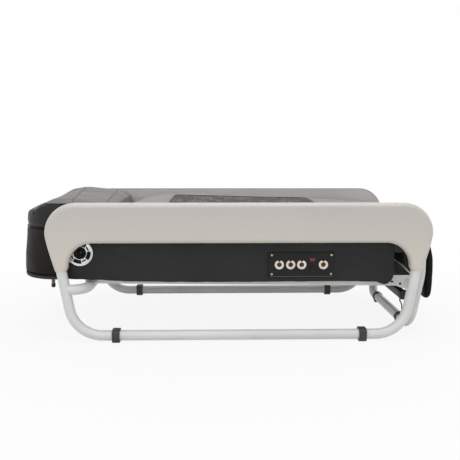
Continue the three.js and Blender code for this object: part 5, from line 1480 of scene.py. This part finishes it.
# Rubber clips under the stand's low bar: a snug band with a foot below it
clip = {"radius": 20.3, "wide": 20, "y": 155, "footHalf": 13, "foot": 8.2, "edge": 1.6}
for side, label in pair:
    top = [(stand["x"] + x, stand["low"] + z) for x, z in arc((0, 0), clip["radius"], -42, 222, 26)]
    outline = top + [(stand["x"] + end * clip["footHalf"], clip["foot"]) for end in (-1, 1)]
    y = side * clip["y"]
    mesh = plateMesh(outline, y - clip["wide"] / 2, y + clip["wide"] / 2, clip["edge"])
    name = "standClip" + label.capitalize()
    piece(name, mesh, "clipRubber", "foot_section", ["stand_clip_" + label])

# The stand's cross brace: a square bar in two rubber blocks
brace = {
    "x": 612, "z": 142, "size": 25, "corner": 3, "edge": 0.5, "half": 248, "y": 262, "wide": 30,
    "high": 30, "x0": 597.5, "x1": 650.6, "blockCorner": 9, "blockEdge": 4, "bore": 17.8,
    "boreSpan": (110, 175),
}
outline = boxAbout(brace["x"], brace["z"], brace["size"], brace["size"], brace["corner"])
bar = plateMesh(outline, -brace["half"], brace["half"], brace["edge"])
piece("standBrace", bar, "braceGreen", "foot_section", ["stand_brace"])
lean = math.tan(math.radians(sled["slant"]))
low, high = brace["z"] - brace["high"] / 2, brace["z"] + brace["high"] / 2
outline = roundedBox(brace["x0"], brace["x1"], low, high, brace["blockCorner"])
for side, label in pair:
    y = side * brace["y"]
    block = plateMesh(outline, y - brace["wide"] / 2, y + brace["wide"] / 2, brace["blockEdge"])
    line = [(stand["x"] + (z - stand["low"]) * lean, y, z) for z in brace["boreSpan"]]
    mesh = bored(block, tubeMesh(line, brace["bore"], 40))
    name = "braceBlock" + label.capitalize()
    piece(name, mesh, "trimRubber", "foot_section", (), 50)

# The sensor lead between the brace's near block and the stand clip: held at both ends
lead = {
    "radius": 2.3,
    "route": [
        (602.5, -262, 128.5), (602.5, -262, 122.5), (605.5, -256, 117), (612, -246, 109),
        (617, -237, 100.5), (622, -226, 89), (626, -214, 77.5), (629, -203, 67), (629, -193, 59),
        (627, -184, 51.5), (624.5, -176, 46.5), (623.8, -168.2, 44.7),
    ],
}


def eased(route):
    points = [Vector(point) for point in route]
    line = []
    for k in range(len(points) - 1):
        a, b, c, d = points[max(k - 1, 0)], points[k], points[k + 1], points[min(k + 2, len(points) - 1)]
        for i in range(6):
            t = i / 6
            curved = (2 * a - 5 * b + 4 * c - d) * t * t + (3 * b - a - 3 * c + d) * t ** 3
            line.append(0.5 * (2 * b + (c - a) * t + curved))
    return line + [points[-1]]


mesh = tubeMesh(eased(lead["route"]), lead["radius"], 14)
piece("standLead", mesh, "leadJacket", "foot_section", ["stand_lead"])
print("stand made")

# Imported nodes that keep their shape
kept = {
    "blackPlastic": ("switch_frame", "fuse_holder", "fuse_cap", "control_box"),
    "redPlastic": ("switch_rocker",),
    "clipRubber": (
        "runner_clip_head_near", "runner_clip_head_far", "runner_clip_foot_near",
        "runner_clip_foot_far",
    ),
    "silverPaint": (
        "chassis_frame", "foot_bracket_near", "foot_bracket_far", "end_beam_head", "end_beam_foot",
        "base_pan",
    ),
    "plywood": ("deck_board",), "padCloth": ("foot_deck_plate",),
    "plainSteel": (
        "guide_rod_near", "guide_rod_far", "lead_screw", "roller_carriage",
        "roller_axle_head", "roller_axle_foot",
    ),
    "braceGreen": ("foot_carrier",), "castGrey": ("gear_motor", "shaft_coupling", "roller_cradle"),
    "jadeStone": ("roller_head", "roller_foot"),
}
soften = {"clipRubber": 1.2, "switch_rocker": 0.5, "fuse_cap": 0.4, "deck_board": 0}
for material, names in kept.items():
    for name in names:
        finishCad(name, material, soften.get(name, soften.get(material, 0.5)))
bolt = {"y": 317, "places": ((584, 194), (556, 201)), "radius": 4.6, "height": 3.4}
places = [(x, side * bolt["y"], z) for side in (-1, 1) for x, z in bolt["places"]]
headsOn("bracketBolts", places, bolt["radius"], bolt["height"], "blackPlastic", 6)
print("kept nodes finished")

# A pale floor that fades into a white background, and soft light

studio = {
    "floor": 14, "floorZ": -0.0005, "greys": (0.7, 0.74), "rough": 0.9, "fadeFrom": 0.7, "fadeTo": 1.7,
    "near": 0.89, "sky": 0.6,
    "lamps": (
        ("above", (0.1, -0.7, 3.2), (0, 0, 0.3), 3.0, 46),
        ("front", (-1.2, -3.4, 1.9), (0, 0, 0.3), 2.2, 18),
        ("foot", (3.0, -1.2, 1.6), (0.3, 0, 0.3), 1.6, 2),
    ),
}


def floorFinish():
    material, tree, shader = newFinish("studioFloor")
    dark, light = ((grey, grey, grey, 1) for grey in studio["greys"])
    feed(tree, shader.inputs["Base Color"], mixed(tree, noiseOf(tree, placed(tree), 1.5), dark, light))
    shader.inputs["Roughness"].default_value = studio["rough"]
    where = nodeOf(tree, "ShaderNodeTexCoord")["Object"]
    length = nodeOf(tree, "ShaderNodeVectorMath", {0: where}, operation="LENGTH")["Value"]
    far = rangeOf(tree, length, studio["fadeFrom"], studio["fadeTo"], studio["near"], 1.0)
    white = nodeOf(tree, "ShaderNodeEmission")["Emission"]
    inputs = {0: mathOf(tree, "MULTIPLY", far, seenRays(tree)), 1: shader.outputs["BSDF"], 2: white}
    shown = nodeOf(tree, "ShaderNodeMixShader", inputs)["Shader"]
    tree.links.new(shown, tree.nodes["Material Output"].inputs["Surface"])
    return material


half = studio["floor"] / 2
corners = [(half * x, half * y, studio["floorZ"]) for x, y in ((-1, -1), (1, -1), (1, 1), (-1, 1))]
mesh = bpy.data.meshes.new("floor")
mesh.from_pydata(corners, [], [(0, 1, 2, 3)])
mesh.materials.append(floorFinish())
floor = bpy.data.objects.new("floor", mesh)
scene.collection.objects.link(floor)

world = bpy.data.worlds.new("studio")
scene.world = world
world.use_nodes = True
sky = world.node_tree
backdrop = sky.nodes["Background"]
backdrop.inputs["Color"].default_value = (1, 1, 1, 1)
sky.links.new(rangeOf(sky, seenRays(sky), 0.0, 1.0, studio["sky"], 1.0), backdrop.inputs["Strength"])
for name, place, target, size, power in studio["lamps"]:
    lamp = bpy.data.lights.new(name, "AREA")
    lamp.shape = "SQUARE"
    lamp.size = size
    lamp.energy = power
    holder = bpy.data.objects.new(name, lamp)
    scene.collection.objects.link(holder)
    holder.location = place
    holder.rotation_euler = (Vector(target) - Vector(place)).to_track_quat("-Z", "Y").to_euler()
print("studio lit")
